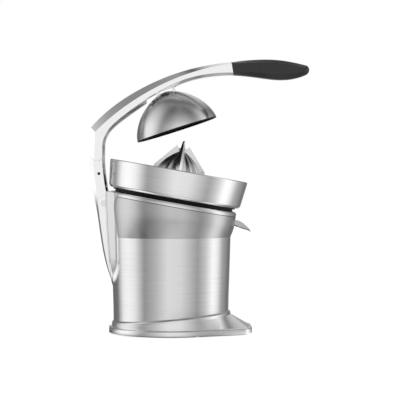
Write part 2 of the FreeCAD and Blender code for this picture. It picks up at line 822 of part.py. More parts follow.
def output_bush():
    return on_drive(turned([(shaft_r + run_gap, box_low + 0.2), (shaft_r + 2, box_low + 0.2),
                            (shaft_r + 2, fast_low - 0.6), (shaft_r + run_gap, fast_low - 0.6)]))


# Motor, placed under the gearbox about its own axis

motor_top = box_low


def on_motor(shape):
    copy = shape.copy()
    copy.translate(vec(motor_u, motor_v, motor_top))
    return on_drive(copy)


def motor_frame():
    """Deep-drawn can with vents, open at the foot."""
    can = turned([(8.2, -1.5), (8.2, 0), (motor_r, 0), (motor_r, -motor_l), (motor_r - 1.2, -motor_l),
                  (motor_r - 1.2, -1.5)])
    vents = ring_copies(block(motor_r - 4, motor_r + 2, -3, 3, -motor_l + 3, -motor_l + 12), 6)
    holes = [rod(screw_r + 0.1, -5, 1, x, y) for x, y in motor_screw_places()]
    return on_motor(can.cut(vents + holes))


def motor_end_cap():
    cap = turned([(5.2, -motor_l), (motor_r, -motor_l), (motor_r, -motor_l - 2.5), (8, -motor_l - 2.5),
                  (8, -motor_l - 5), (0, -motor_l - 5), (0, -motor_l - 3.5), (5.2, -motor_l - 3.5)])
    return on_motor(cap)


def motor_stator():
    core = turned([(rotor_r + air_gap, -10), (motor_r - 1.3, -10), (motor_r - 1.3, -10 - stator_h),
                   (rotor_r + air_gap, -10 - stator_h)])
    slots = ring_copies(block(rotor_r, motor_r - 4, -3.2, 3.2, -60, 0), 2, 90)
    return on_motor(core.cut(slots))


def motor_coils():
    """Field windings: an end turn at each end of the core."""
    ends = []
    for z in (-9.7, -10.3 - stator_h - 6):
        ends.append(on_motor(turned([(rotor_r + 2, z), (motor_r - 3, z, 2.0), (motor_r - 3, z + 6, 2.0),
                                     (rotor_r + 2, z + 6)])))
    return Part.makeCompound(ends)


def motor_bearings():
    upper = turned([(motor_shaft_r + run_gap, 0), (8.2, 0), (8.2, -4), (motor_shaft_r + run_gap, -4)])
    lower = turned([(motor_shaft_r + run_gap, -motor_l), (5.2, -motor_l), (5.2, -motor_l - 3.4),
                    (motor_shaft_r + run_gap, -motor_l - 3.4)])
    return Part.makeCompound([on_motor(upper), on_motor(lower)])


def rotor_core():
    core = rod(rotor_r, -10 - stator_h, -10)
    slots = ring_copies(block(rotor_r - 3.5, rotor_r + 1, -0.9, 0.9, -60, 0), 10)
    return on_motor(core.cut(slots).cut(rod(motor_shaft_r, -70, 0)))


def rotor_shaft():
    top = fast_low + fast_face + 0.5 - motor_top
    return on_motor(rod(motor_shaft_r, -motor_l - 3.4, top))


def cooling_fan():
    hub = rod(5.5, -motor_l + 1.5, -motor_l + 6)
    disc = rod(fan_r, -motor_l + 1.5, -motor_l + 2.7)
    blades = ring_copies(block(5, fan_r - 0.5, -0.6, 0.6, -motor_l + 2.5, -motor_l + 7.5), 8)
    return on_motor(hub.fuse([disc] + blades).cut(rod(motor_shaft_r, -80, 0)).removeSplitter())


def motor_screws():
    made = []
    for x, y in motor_screw_places():
        copy = screw(4.0)
        copy.translate(vec(x, y, -1.5))
        made.append(on_motor(copy))
    return Part.makeCompound(made)


# Switch and electrics

switch_top = rod_low - 2.6


def microswitch():
    case = block(-4, 16, -3.1, 3.1, switch_top - 10.5, switch_top)
    well = rod(1.7, switch_top - 4.4, switch_top + 1)
    tags = [block(x, x + 1.2, -1.2, 1.2, switch_top - 14, switch_top - 10.5) for x in (-1, 6, 13)]
    return on_drive(case.fuse(tags).cut(well).removeSplitter())


def switch_plunger():
    return on_drive(rod(1.6, switch_top - reamer_travel - 1.0, rod_low - 0.05))


def switch_bracket():
    plate = block(16, 17.5, -5, 5, switch_top - 10.5, box_low)
    foot = block(10, 17.5, -5, 5, box_low - 1.5, box_low)
    return on_drive(plate.fuse(foot).removeSplitter())


def control_board():
    return block(board_x, board_x + board_l, -board_half, board_half, board_z, board_z + board_t)


def run_capacitor():
    low = board_z + board_t
    return rod(capacitor_r, low, low + capacitor_h, board_x + board_l - capacitor_r - 8, 0)


def board_posts():
    posts = []
    side = board_half - board_edge
    for x in (board_x + board_edge, board_x + board_l - board_edge):
        for y in (-side, side):
            posts.append(rod(post_r, pad_t + cover_t, board_z, x, y))
    return Part.makeCompound(posts)


# Rear support

def pillar_stations():
    """Height, back face and width of the hump, from above the collar down to where it dies away."""
    top = seat_z + 30.0
    back = -skirt_r
    return ((top, back + 1.1, 1.02), (seat_z, back + 1.3, 1.01), (shoulder_z + 16.0, back + 3.0, 0.99),
            (shoulder_z - 13.5, back + 4.7, 0.975), (shoulder_z - 32.5, back + 6.5, 0.965),
            (shoulder_z - 44.5, back + 7.6, 0.94), (shoulder_z - 54.5, back + 8.4, 0.85),
            (shoulder_z - 63.0, back + 9.2, 0.72), (shoulder_z - 71.0, back + 9.9, 0.52),
            (shoulder_z - 76.0, back + 10.6, 0.36))


def pillar_raw(inset=0.0):
    """Hump behind the body: flat back and sides, and flanks that run out onto the body's wall."""
    wires = []
    for z, rear, share in pillar_stations():
        half = pillar_half * share - inset
        x = rear + inset
        reach = math.sqrt(max(body_radius(z) ** 2 - half ** 2, 0))
        run_out = -min(reach, shoulder_r * 0.91)
        side = [(x, half - pillar_corner), (x + pillar_corner, half), (run_out - 3.0, half),
                (run_out + 0.5, half + 0.8), (run_out + 3.5, half + 2.8), (run_out + 5.5, half + 5.4),
                (run_out + 12.0, half + 12.0)]
        corners = [vec(a, b, z) for a, b in side] + [vec(a, -b, z) for a, b in reversed(side)]
        wires.append(Part.makePolygon(corners + [corners[0]]))
    raw = Part.makeLoft(wires, True, True)
    top = pillar_top_w - inset
    return raw.cut(on_drive(block(-shoulder_r - 60, 0, -shoulder_r, shoulder_r, top, top + 60)))


def rear_pillar():
    raw = pillar_raw()
    seam = block(-shoulder_r - 40, -shoulder_r / 2, -shoulder_r, shoulder_r, -pillar_seam / 2,
                 pillar_seam / 2)
    raw = raw.cut(on_drive(seam).cut(pillar_raw(pillar_seam)))
    return raw.cut([body_solid(0, 0), on_drive(rod(collar_r + 0.05, -2, 40))]).removeSplitter()


def bar(outer, inner, flat, half):
    """Bar with bevelled edges: the outer outline on its flats, the inner one on its side faces."""
    sides = []
    for wire, y in ((inner, -half), (outer, -flat), (outer, flat), (inner, half)):
        copy = wire.copy()
        copy.translate(vec(0, y, 0))
        sides.append(copy)
    return Part.makeLoft(sides, True, True)


def rear_bar():
    """Post and spine in one length, before they are parted at the knee."""
    back = [(-10.9, 0.0), (-10.9, -26.8), (-7.8, -54.8), (-2.6, -81.8), (3.2, -120.0), (9.6, -158.4),
            (22.4, -201.8)]
    front = [(32.8, -201.8), (24.8, -158.4), (21.8, -94.8), (15.8, -54.8), (12.9, -34.8), (10.9, -14.8),
             (10.9, 0.0)]
    back_in = [(-5.2, 0.0), (-5.2, -26.8), (-1.8, -54.8), (1.4, -81.8), (6.4, -120.0), (12.4, -158.4),
               (23.4, -200.8)]
    front_in = [(32.8, -200.8), (24.8, -158.4), (21.8, -94.8), (12.8, -54.8), (9.9, -34.8), (7.9, -14.8),
                (7.9, 0.0)]
    wires = []
    for rear, fore in ((back, front), (back_in, front_in)):
        rear = shifted(rear, hinge_x, hinge_z)
        fore = shifted(fore, hinge_x, hinge_z)
        edges = [spline(rear), straight(rear[-1], fore[0]), spline(fore), straight(fore[-1], rear[0])]
        wires.append(Part.Wire(edges))
    return bar(wires[0], wires[1], arm_flat_half, arm_half)


def knee(grow):
    return cross_rod(knee_r + grow, knee_x, knee_z, -60, 60)


def under_knee(grow):
    """Everything that belongs to the spine: the round knee and what is below and before it."""
    below = block(knee_x - 60, knee_x + 50, -60, 60, 0, knee_z)
    before = block(knee_x, knee_x + 50, -60, 60, 0, knee_z + knee_r + grow)
    return knee(grow).fuse([below, before])


def hinge_sweep(half, grow):
    """Space that the arm's lower end passes through between its two stops."""
    width = knuckle_r + grow
    strip = block(hinge_x - width, hinge_x + width, -half, half, hinge_z, hinge_z + 60)
    round_end = cross_rod(width, hinge_x, hinge_z, -half, half)
    strips = [turned_about_hinge(strip, degrees) for degrees in (-open_angle, 0, press_angle)]
    return round_end.fuse(strips)


def tongue_core():
    """Spine's upright tenon that the post is slipped over."""
    low = knee_z - 2.2
    high = hinge_z - 22.8
    return slab(outline([(hinge_x - 1.7, low), (hinge_x + 6.3, low), (hinge_x + 7.3, high, 2),
                         (hinge_x - 2.7, high, 2)]), -core_half, core_half)


def hinge_post():
    post = rear_bar().cut([under_knee(knee_gap), pillar_raw()])
    post = post.cut(hinge_sweep(60, knuckle_gap))
    neck_low = hinge_z - 22.8
    neck = rear_bar().common(block(hinge_x - 24, hinge_x + 26, -tongue_half, tongue_half, neck_low, hinge_z))
    tongue = cross_rod(knuckle_r, hinge_x, hinge_z, -tongue_half, tongue_half)
    post = post.fuse([neck, tongue])
    cuts = [cross_rod(hinge_pin_r, hinge_x, hinge_z, -20, 20), tongue_core(),
            cross_rod(dot_r, dot_x, dot_z, -30, 30)]
    return post.cut(cuts).removeSplitter()


def rear_spine():
    spine = rear_bar().common(under_knee(0))
    spine = spine.cut([pillar_raw(), body_solid(0, 0)])
    spine = spine.fuse(tongue_core())
    return spine.cut(cross_rod(dot_r, dot_x, dot_z, -30, 30)).removeSplitter()


def post_cross_pin():
    return cross_rod(dot_r, dot_x, dot_z, -arm_half + 0.6, arm_half - 0.6)


def spine_caps():
    caps = []
    for side in (-1, 1):
        top = side * (spine_half + boss_proud)
        low, high = sorted((side * spine_half, top))
        cap = cross_rod(boss_r, boss_x, boss_z, low, high)
        dimple = cross_rod(2.2, boss_x, boss_z, top - 0.4, top + 0.4)
        caps.append(cap.cut([dimple, pillar_raw()]))
    return Part.makeCompound(caps)


def hinge_pin():
    return cross_rod(hinge_pin_r, hinge_x, hinge_z, 0.4 - bush_half, arm_half - 0.6)


# Lever arm

def arm_wires():
    """Outer outline and the outline of the side faces, which the bevels run between."""
    low = hinge_z - knuckle_r - 1
    top = [(-10.6, 42.0), (20.8, 72.0), (64.0, 100.8), (129.6, 129.4), (212.8, 145.9)]
    under = [(216.4, 126.1), (179.2, 123.8), (137.6, 113.8), (78.1, 80.8), (36.8, 51.4), (17.1, 32.0),
             (10.9, 13.2)]
    top_in = [(-3.6, 34.8), (20.8, 57.2), (64.0, 88.6), (129.6, 121.8), (213.6, 142.8)]
    under_in = [(215.8, 128.8), (179.2, 127.0), (137.6, 117.6), (78.1, 86.8), (36.8, 56.8), (15.2, 34.6),
                (7.9, 13.2)]
    wires = []
    for upper, lower, rear_x, front_x in ((top, under, -10.9, 10.9), (top_in, under_in, -5.2, 7.9)):
        upper = shifted(upper, hinge_x, hinge_z)
        lower = shifted(lower, hinge_x, hinge_z)
        front = (hinge_x + front_x, low)
        rear = (hinge_x + rear_x, low)
        wires.append(Part.Wire([spline(upper), straight(upper[-1], lower[0]), spline(lower),
                                straight(lower[-1], front), straight(front, rear),
                                        straight(rear, upper[0])]))
    return wires


def arm_casting():
    outer, inner = arm_wires()
    arm = bar(outer, inner, arm_flat_half, arm_half)
    above = block(hinge_x - 44, hinge_x + 237, -30, 30, hinge_z, hinge_z + 166)
    keep = cross_rod(knuckle_r, hinge_x, hinge_z, -30, 30).fuse(above)
    arm = arm.common(keep)
    slot_half = tongue_half + tongue_gap
    width = knuckle_r + knuckle_gap
    neck = block(hinge_x - width, hinge_x + width, -slot_half, slot_half, hinge_z - 60, hinge_z)
    cuts = [cross_rod(width, hinge_x, hinge_z, -slot_half, slot_half)]
    cuts += [turned_about_hinge(neck, degrees) for degrees in (open_angle, 0, -press_angle)]
    cuts.append(cross_rod(bush_r, hinge_x, hinge_z, -bush_half, 30))
    pin_x, pin_z = dome_pin_place()
    notch = [(-26.5, -43.7), (-26.5, -21.5), (-4.9, -8.9), (14.3, 0.9), (14.3, -43.7)]
    cuts.append(slab(outline(shifted(notch, pin_x, pin_z)), -30, 30))
    channel = [(-23.3, -43.7), (-23.3, -12.7, 3), (-7.3, 3.8, 4), (0.7, 7.5, 4), (20.7, 10.8, 4),
               (20.7, -43.7)]
    cuts.append(slab(outline(shifted(channel, pin_x, pin_z)), -hanger_half - 2, hanger_half + 2))
    cuts.append(cross_rod(dome_pin_r, pin_x, pin_z, -pin_end, 30))
    return arm.cut(cuts).fuse(grip_tang()).removeSplitter()


def grip_tang():
    tang = [(210.8, 139.7), (266.8, 140.7), (300.8, 136.7), (300.8, 129.7), (266.8, 130.7), (213.8, 130.7)]
    return slab(outline(shifted(tang, hinge_x, hinge_z)), -6, 6)


def arm_grip():
    top = [(213.2, 145.8), (237.8, 148.8), (262.8, 150.1), (286.8, 149.3), (311.8, 145.5), (332.8, 140.6)]
    under = [(334.2, 127.2), (311.8, 120.0), (286.8, 118.4), (262.8, 121.0), (237.8, 124.2), (216.8, 125.8)]
    top_in = [(214.2, 143.8), (237.8, 144.0), (262.8, 144.2), (286.8, 142.8), (311.8, 139.6), (329.8, 136.2)]
    under_in = [(330.4, 130.8), (311.8, 126.8), (286.8, 126.8), (262.8, 128.2), (237.8, 129.2),
                (216.2, 129.0)]
    nose = [(337.1, 134.2)]
    nose_in = [(331.4, 133.6)]
    wires = []
    for upper, tip, lower in ((top, nose, under), (top_in, nose_in, under_in)):
        upper, tip, lower = [shifted(points, hinge_x, hinge_z) for points in (upper, tip, lower)]
        ends = [vec(x, 0, z) for x, z in (upper[-1], tip[0], lower[0])]
        wires.append(Part.Wire([spline(upper), Part.Arc(*ends).toShape(), spline(lower),
                                straight(lower[-1], upper[0])]))
    grip = bar(wires[0], wires[1], grip_flat_half, grip_half)
    return grip.cut(grip_tang())


def hinge_bushes():
    sides = []
    inner = tongue_half + tongue_gap
    for low, high in ((-bush_half, -inner), (inner, arm_half - 0.6)):
        sides.append(cross_rod(bush_r, hinge_x, hinge_z, low, high).cut(
            cross_rod(hinge_pin_r + run_gap, hinge_x, hinge_z, -40, 40)))
    return Part.makeCompound(sides)


# Dome

def dome_pin_place():
    lean = math.radians(dome_tilt)
    rise = dome_h + hanger_rise
    return dome_x + rise * math.sin(lean), dome_z + rise * math.cos(lean)


def dome_curve(inset, low, steps=8):
    """Meridian of the dome from its rim to its crown, drawn with its own power curve."""
    radius = dome_r - inset
    height = dome_h - inset
    points = []
    for i in range(steps + 1):
        turn = math.pi / 2 * i / steps
        r = radius * math.cos(turn) ** (2 / dome_power)
        z = height * math.sin(turn) ** (2 / dome_power)
        points.append((r, z))
    points[-1] = (0.0, height)
    kept = [p for p in points if p[1] > low + 1.0]
    share = (1 - (low / height) ** dome_power) ** (1 / dome_power) if low > 0 else 1.0
    curve = Part.BSplineCurve()
    curve.interpolate([vec(radius * share, 0, low)] + [vec(r, 0, z) for r, z in kept])
    return curve.toShape(), radius * share, height


def dome_solid(inset, low):
    curve, rim, height = dome_curve(inset, low)
    foot = Part.makeLine(vec(0, 0, low), vec(rim, 0, low))
    axis = Part.makeLine(vec(0, 0, height), vec(0, 0, low))
    return Part.Face(Part.Wire([foot, curve, axis])).revolve(vec(0, 0, 0), vec(0, 0, 1), 360)


def dome_shell():
    shell = dome_solid(0, lip_h).cut(dome_solid(dome_wall, lip_h))
    return on_dome(shell)


def dome_liner():
    inner = dome_wall + liner_t
    lining = dome_solid(dome_wall, lip_h).cut(dome_solid(inner, lip_h))
    lip_in = dome_r - inner - 0.4
    lip = turned([(lip_in, 0), (dome_r, 0, 1.0), (dome_r, lip_h), (lip_in, lip_h)])
    near = dome_r * 0.45
    far = dome_r + 4
    high = dome_h - 8
    rib = slab(outline([(near, 20), (far, 20), (far, high), (near, high)]), -0.9, 0.9)
    ribs = dome_solid(inner - 0.05, lip_h).cut(dome_solid(inner + 2.2, lip_h)).common(
        Part.makeCompound(ring_copies(rib, liner_ribs)))
    return on_dome(lining.fuse([lip, ribs]).removeSplitter())


def dome_hanger():
    pin_w = dome_h + hanger_rise
    foot_w = dome_h - 8
    under_w = dome_h + 3
    arch = outline([(-15, foot_w), (-9, foot_w), (-9, under_w, 2), (12.4, under_w, 2), (12.4, foot_w),
                    (17, foot_w), (17, dome_h + 8, 3), (4.5, pin_w + 4.5, 4.4), (-4.5, pin_w + 4.5, 4.4),
                    (-15, dome_h + 6, 3)])
    strap = slab(arch, -hanger_half, hanger_half)
    strap = strap.cut([dome_solid(0, lip_h), cross_rod(dome_pin_r + run_gap, 0, pin_w, -20, 20)])
    return on_dome(strap)


def dome_pin():
    pin_x, pin_z = dome_pin_place()
    return cross_rod(dome_pin_r, pin_x, pin_z, -pin_end, arm_half - 1.5)


# Spout

def spout():
    """Beak-shaped open trough that tips up on its pin to stop the drip."""
    top = [(-0.1, -6.2), (6.4, -5.4), (12.4, -6.1), (21.4, -10.4), (26.4, -13.8), (31.3, -19.6)]
    under = [(31.3, -19.6), (26.8, -18.0), (18.4, -17.0), (6.9, -15.2), (-2.6, -14.2)]
    floor = [(-8.6, -12.0), (6.4, -13.8), (18.4, -15.4), (27.4, -17.0), (32.4, -18.8)]
    over = [(32.4, 0.0), (-8.6, 0.0)]
    sides = []
    for low, raised in ((under[0], 0.0), (under[0], spout_edge)):
        lower = [low] + [(u, w + raised) for u, w in under[1:]]
        upper = shifted(top, spout_pin_u, 0)
        lower = shifted(lower, spout_pin_u, 0)
        sides.append(Part.Wire([spline(upper), spline(lower), straight(lower[-1], upper[0])]))
    beak = bar(sides[0], sides[1], spout_half - spout_wall, spout_half)
    floor = shifted(floor, spout_pin_u, 0)
    over = [floor[-1]] + shifted(over, spout_pin_u, 0) + [floor[0]]
    lines = [straight(a, b) for a, b in zip(over, over[1:])]
    channel = slab(Part.Wire([spline(floor)] + lines), -spout_half + spout_wall, spout_half - spout_wall)
    boss = cross_rod(spout_pin_r + 1.5, spout_pin_u, spout_pin_w, -spout_half, spout_half)
    beak = beak.cut(channel).fuse(boss)
    return on_drive(beak.cut(cross_rod(spout_pin_r + run_gap, spout_pin_u, spout_pin_w, -20, 20)))


def spout_pin():
    return on_drive(cross_rod(spout_pin_r, spout_pin_u, spout_pin_w, -spout_half - 3, spout_half + 3))


nodes = {
    "base_casting": base_casting,
    "bottom_cover": bottom_cover,
    "non_slip_pad": non_slip_pad,
    "cover_screws": cover_screws,
    "cable_gland": cable_gland,
    "body_shell": body_shell,
    "collar_ring": collar_ring,
    "deck_tub": deck_tub,
    "shaft_seal": shaft_seal,
    "juice_collector": juice_collector,
    "bowl_skirt": bowl_skirt,
    "filter_basket": filter_basket,
    "reamer_cone": reamer_cone,
    "push_rod": push_rod,
    "output_shaft": output_shaft,
    "drive_pin": drive_pin,
    "output_gear": output_gear,
    "idler_gear": idler_gear,
    "idler_shaft": idler_shaft,
    "motor_pinion": motor_pinion,
    "gearbox_housing": gearbox_housing,
    "gearbox_lid": gearbox_lid,
    "gearbox_screws": gearbox_screws,
    "output_bearing": output_bearing,
    "output_bush": output_bush,
    "motor_frame": motor_frame,
    "motor_end_cap": motor_end_cap,
    "motor_stator": motor_stator,
    "motor_coils": motor_coils,
    "motor_bearings": motor_bearings,
    "rotor_core": rotor_core,
    "rotor_shaft": rotor_shaft,
    "cooling_fan": cooling_fan,
    "motor_screws": motor_screws,
    "microswitch": microswitch,
    "switch_plunger": switch_plunger,
    "switch_bracket": switch_bracket,
    "control_board": control_board,
    "run_capacitor": run_capacitor,
    "board_posts": board_posts,
    "rear_pillar": rear_pillar,
    "rear_spine": rear_spine,
    "hinge_post": hinge_post,
    "post_cross_pin": post_cross_pin,
    "spine_caps": spine_caps,
    "hinge_pin": hinge_pin,
    "arm_casting": arm_casting,
    "arm_grip": arm_grip,
    "hinge_bushes": hinge_bushes,
    "dome_shell": dome_shell,
    "dome_liner": dome_liner,
    "dome_hanger": dome_hanger,
    "dome_pin": dome_pin,
    "spout": spout,
    "spout_pin": spout_pin,
}

os.makedirs("parts", exist_ok=True)
for name, make in nodes.items():
    make().exportStep("parts/" + name + ".step")
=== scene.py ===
import json
import math

import bmesh
import bpy
from mathutils import Matrix, Vector


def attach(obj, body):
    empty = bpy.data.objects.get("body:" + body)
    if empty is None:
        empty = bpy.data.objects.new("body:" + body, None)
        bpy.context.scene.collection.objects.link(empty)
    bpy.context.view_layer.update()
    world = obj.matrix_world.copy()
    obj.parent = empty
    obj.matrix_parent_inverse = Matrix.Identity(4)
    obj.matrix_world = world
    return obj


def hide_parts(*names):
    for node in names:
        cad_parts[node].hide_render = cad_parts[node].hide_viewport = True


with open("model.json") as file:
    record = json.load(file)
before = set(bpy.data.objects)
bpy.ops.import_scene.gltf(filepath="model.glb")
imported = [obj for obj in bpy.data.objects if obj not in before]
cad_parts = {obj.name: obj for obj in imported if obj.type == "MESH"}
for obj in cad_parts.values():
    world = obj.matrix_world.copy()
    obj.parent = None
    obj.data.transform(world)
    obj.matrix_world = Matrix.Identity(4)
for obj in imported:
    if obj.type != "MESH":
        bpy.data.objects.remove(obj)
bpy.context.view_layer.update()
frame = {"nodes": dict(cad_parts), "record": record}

# Camera
# Level with the cup and square to the press's side, far enough away for a long lens. The press
# stands with its back to the left, so the lever and the spout are both seen in outline.
eye = Vector((0.0464, -2.4, 0.2432))
aim = Vector((0.0464, 0.0, 0.2112))
camera_data = bpy.data.cameras.new("camera")
camera_data.lens = 135.0
camera = bpy.data.objects.new("camera", camera_data)
camera.location = eye
camera.rotation_euler = (aim - eye).to_track_quat("-Z", "Y").to_euler()
bpy.context.scene.collection.objects.link(camera)
bpy.context.scene.camera = camera

# Studio
# A white room with tall soft lights standing round the table, and a panel over the back of it.
# Polished steel shows little but its surroundings, so each light's place is the direction that it
# is seen in: degrees round Z from the camera's side, then the height of that direction.
strips = ((-180, 0.5), (-160, 0.15), (-130, 0.2), (-107, 1.05), (-90, 1.15), (-74, 1.0), (-52, 0.35),
          (-30, 0.55), (-5, 0.9), (20, 0.85), (54, 0.4), (72, 0.7), (90, 1.25), (102, 1.1), (120, 0.45),
          (155, 0.15), (180, 0.5))
# Share of a light's level by the sine of the direction's height.
heights = ((-1.0, 0.3), (-0.5, 1.0), (0.34, 1.0), (0.5, 0.85), (0.8, 0.5), (0.9, 0.3), (0.97, 0.26), (1.0, 0.4))
panel_toward = (0.0, 0.68, 0.73)
panel_edge = (0.84, 0.95)    # cosines of the angles from the panel's middle where it starts and is full
panel_level = 0.55
# The dim ring is painted shade on the table's glow: it takes away a share that depends on the angle, between
# these distances in metres. Its middle is moved back, so it lies further out behind the press.
painted_dim_ring = ((-180, 0.45), (-110, 0.7), (-90, 0.88), (-60, 0.86), (-40, 0.5), (-20, 0.4), (60, 0.3),
              (180, 0.45))
dim_reach = ((0.0, 0.0), (0.3, 0.0), (0.38, 1.0), (0.5, 1.0), (0.68, 0.0))
dim_middle = -0.13
# Painted shadow under the press: the share of the table's glow that is left, by distance from the middle in
# metres.
painted_under_shadow = ((0.0, 0.03), (0.115, 0.06), (0.135, 1.0))
card_r = 0.33
card_h = 0.055
near_shift = 0.0475          # about half the body's radius: keeps bands seen close by upright
room_half = 12.0
table_drop = 0.001
paper_glow = 0.66


def add_node(tree, kind, **settings):
    made = tree.nodes.new(kind)
    for name, value in settings.items():
        setattr(made, name, value)
    return made


def feed(tree, socket, value):
    """Gives a socket a number, or a link where the value is another node's output."""
    if isinstance(value, bpy.types.NodeSocket):
        tree.links.new(value, socket)
    else:
        socket.default_value = value


def calculate(tree, operation, first, second=0.0):
    made = add_node(tree, "ShaderNodeMath", operation=operation)
    feed(tree, made.inputs[0], first)
    feed(tree, made.inputs[1], second)
    return made.outputs[0]


def spread(tree, value, low, high, from_low=0.3, from_high=0.7):
    """Spreads a noise's middle values over a new range."""
    made = add_node(tree, "ShaderNodeMapRange")
    feed(tree, made.inputs["Value"], value)
    for name, number in (("From Min", from_low), ("From Max", from_high), ("To Min", low), ("To Max", high)):
        made.inputs[name].default_value = number
    return made.outputs[0]


def ramp(tree, share, stops):
    """Grey level that follows a list of (place, level) stops."""
    made = add_node(tree, "ShaderNodeValToRGB")
    made.color_ramp.interpolation = "LINEAR"
    feed(tree, made.inputs[0], share)
    while len(made.color_ramp.elements) < len(stops):
        made.color_ramp.elements.new(0.5)
    for element, (place, level) in zip(made.color_ramp.elements, stops):
        element.position = place
        element.color = (level, level, level, 1.0)
    return made.outputs[0]


def azimuth(tree, parts):
    """Angle of a direction or place round Z, in radians from the camera's side."""
    return calculate(tree, "ARCTAN2", parts.outputs[0], calculate(tree, "MULTIPLY", parts.outputs[1], -1.0))


def round_ramp(tree, angle, stops, full=1.0):
    """Grey level that follows a list of (degrees, level) stops round the table."""
    share = calculate(tree, "ADD", calculate(tree, "DIVIDE", angle, 2 * math.pi), 0.5)
    return ramp(tree, share, [(place / 360 + 0.5, level / full) for place, level in stops])


room = bpy.data.worlds.new("studio")
room.use_nodes = True
bpy.context.scene.world = room
tree = room.node_tree
tree.nodes.clear()
toward = add_node(tree, "ShaderNodeTexCoord").outputs["Generated"]
parts = add_node(tree, "ShaderNodeSeparateXYZ")
feed(tree, parts.inputs[0], toward)
brightest = max(level for place, level in strips)
round_table = round_ramp(tree, azimuth(tree, parts), strips, brightest)
up_share = calculate(tree, "ADD", calculate(tree, "MULTIPLY", parts.outputs[2], 0.5), 0.5)
up_wall = ramp(tree, up_share, [(place / 2 + 0.5, level) for place, level in heights])
facing = add_node(tree, "ShaderNodeVectorMath", operation="DOT_PRODUCT")
feed(tree, facing.inputs[0], toward)
facing.inputs[1].default_value = panel_toward
panel = spread(tree, facing.outputs["Value"], 0.0, panel_level / brightest, *panel_edge)
seen = calculate(tree, "ADD", calculate(tree, "MULTIPLY", round_table, up_wall), panel)
soft_light = add_node(tree, "ShaderNodeBackground")
feed(tree, soft_light.inputs["Color"], seen)
soft_light.inputs["Strength"].default_value = brightest
backdrop = add_node(tree, "ShaderNodeBackground")
backdrop.inputs["Color"].default_value = (1.0, 1.0, 1.0, 1.0)
choose = add_node(tree, "ShaderNodeMixShader")
feed(tree, choose.inputs[0], add_node(tree, "ShaderNodeLightPath").outputs["Is Camera Ray"])
feed(tree, choose.inputs[1], soft_light.outputs[0])
feed(tree, choose.inputs[2], backdrop.outputs[0])
feed(tree, add_node(tree, "ShaderNodeOutputWorld").inputs["Surface"], choose.outputs[0])
bpy.context.scene.view_settings.view_transform = "Standard"


def staged(name, made):
    """Object of the studio's, which isn't part of the press."""
    mesh = bpy.data.meshes.new(name)
    made.to_mesh(mesh)
    made.free()
    thing = bpy.data.objects.new(name, mesh)
    bpy.context.scene.collection.objects.link(thing)
    return thing


def sheet(name, height):
    """Level square as wide as the room."""
    flat = bmesh.new()
    bmesh.ops.create_grid(flat, x_segments=1, y_segments=1, size=room_half,
                          matrix=Matrix.Translation((0, 0, height)))
    return staged(name, flat)


# What the steel sees of the table, painted into a glow that only reflections show: a painted sheen of the
# lights on it, the dim ring and the dark under the press as painted shade, and a low bright card round the
# press that lights the foot of the body. None of it is seen itself.
painted_table_glow = bpy.data.materials.new("painted_table_glow")
painted_table_glow.use_nodes = True
tree = painted_table_glow.node_tree
tree.nodes.clear()
where = add_node(tree, "ShaderNodeTexCoord").outputs["Object"]
parts = add_node(tree, "ShaderNodeSeparateXYZ")
feed(tree, parts.inputs[0], where)
distances = []
for middle in (dim_middle, 0.0):
    distance = add_node(tree, "ShaderNodeVectorMath", operation="DISTANCE")
    distance.inputs[1].default_value = (middle, 0.0, 0.0)
    feed(tree, distance.inputs[0], where)
    distances.append(distance.outputs["Value"])
widen = calculate(tree, "ADD", calculate(tree, "DIVIDE", near_shift, distances[1]), 1.0)
angle = calculate(tree, "MULTIPLY", azimuth(tree, parts), widen)
# Painted sheen of the lights on the table, then painted shade from the dim ring and from the dark under the
# press.
sheen = round_ramp(tree, angle, strips, brightest)
dim = round_ramp(tree, angle, painted_dim_ring)
dim = calculate(tree, "MULTIPLY", dim, ramp(tree, distances[0], dim_reach))
on_table = calculate(tree, "LESS_THAN", parts.outputs[2], 0.0)
dim = calculate(tree, "SUBTRACT", 1.0, calculate(tree, "MULTIPLY", dim, on_table))
dim = calculate(tree, "MULTIPLY", dim, ramp(tree, distances[1], painted_under_shadow))
glow = add_node(tree, "ShaderNodeEmission")
feed(tree, glow.inputs["Color"], calculate(tree, "MULTIPLY", sheen, dim))
glow.inputs["Strength"].default_value = brightest
feed(tree, add_node(tree, "ShaderNodeOutputMaterial").inputs["Surface"], glow.outputs[0])
card = bmesh.new()
bmesh.ops.create_cone(card, cap_ends=False, segments=128, radius1=card_r, radius2=card_r, depth=card_h,
                      matrix=Matrix.Translation((0, 0, card_h / 2)))
low_card = staged("low_card", card)
for thing in (sheet("table_top", -table_drop), low_card):
    thing.visible_camera = False
    thing.visible_diffuse = False
    thing.visible_shadow = False
    thing.data.materials.append(painted_table_glow)

floor = sheet("floor", 0.0)
floor.visible_glossy = False
white_paper = bpy.data.materials.new("white_paper")
white_paper.use_nodes = True
paper = white_paper.node_tree.nodes["Principled BSDF"]
paper.inputs["Base Color"].default_value = (0.9, 0.9, 0.9, 1.0)
paper.inputs["Roughness"].default_value = 0.9
paper.inputs["Specular IOR Level"].default_value = 0.0
paper.inputs["Emission Color"].default_value = (1.0, 1.0, 1.0, 1.0)
paper.inputs["Emission Strength"].default_value = paper_glow
floor.data.materials.append(white_paper)

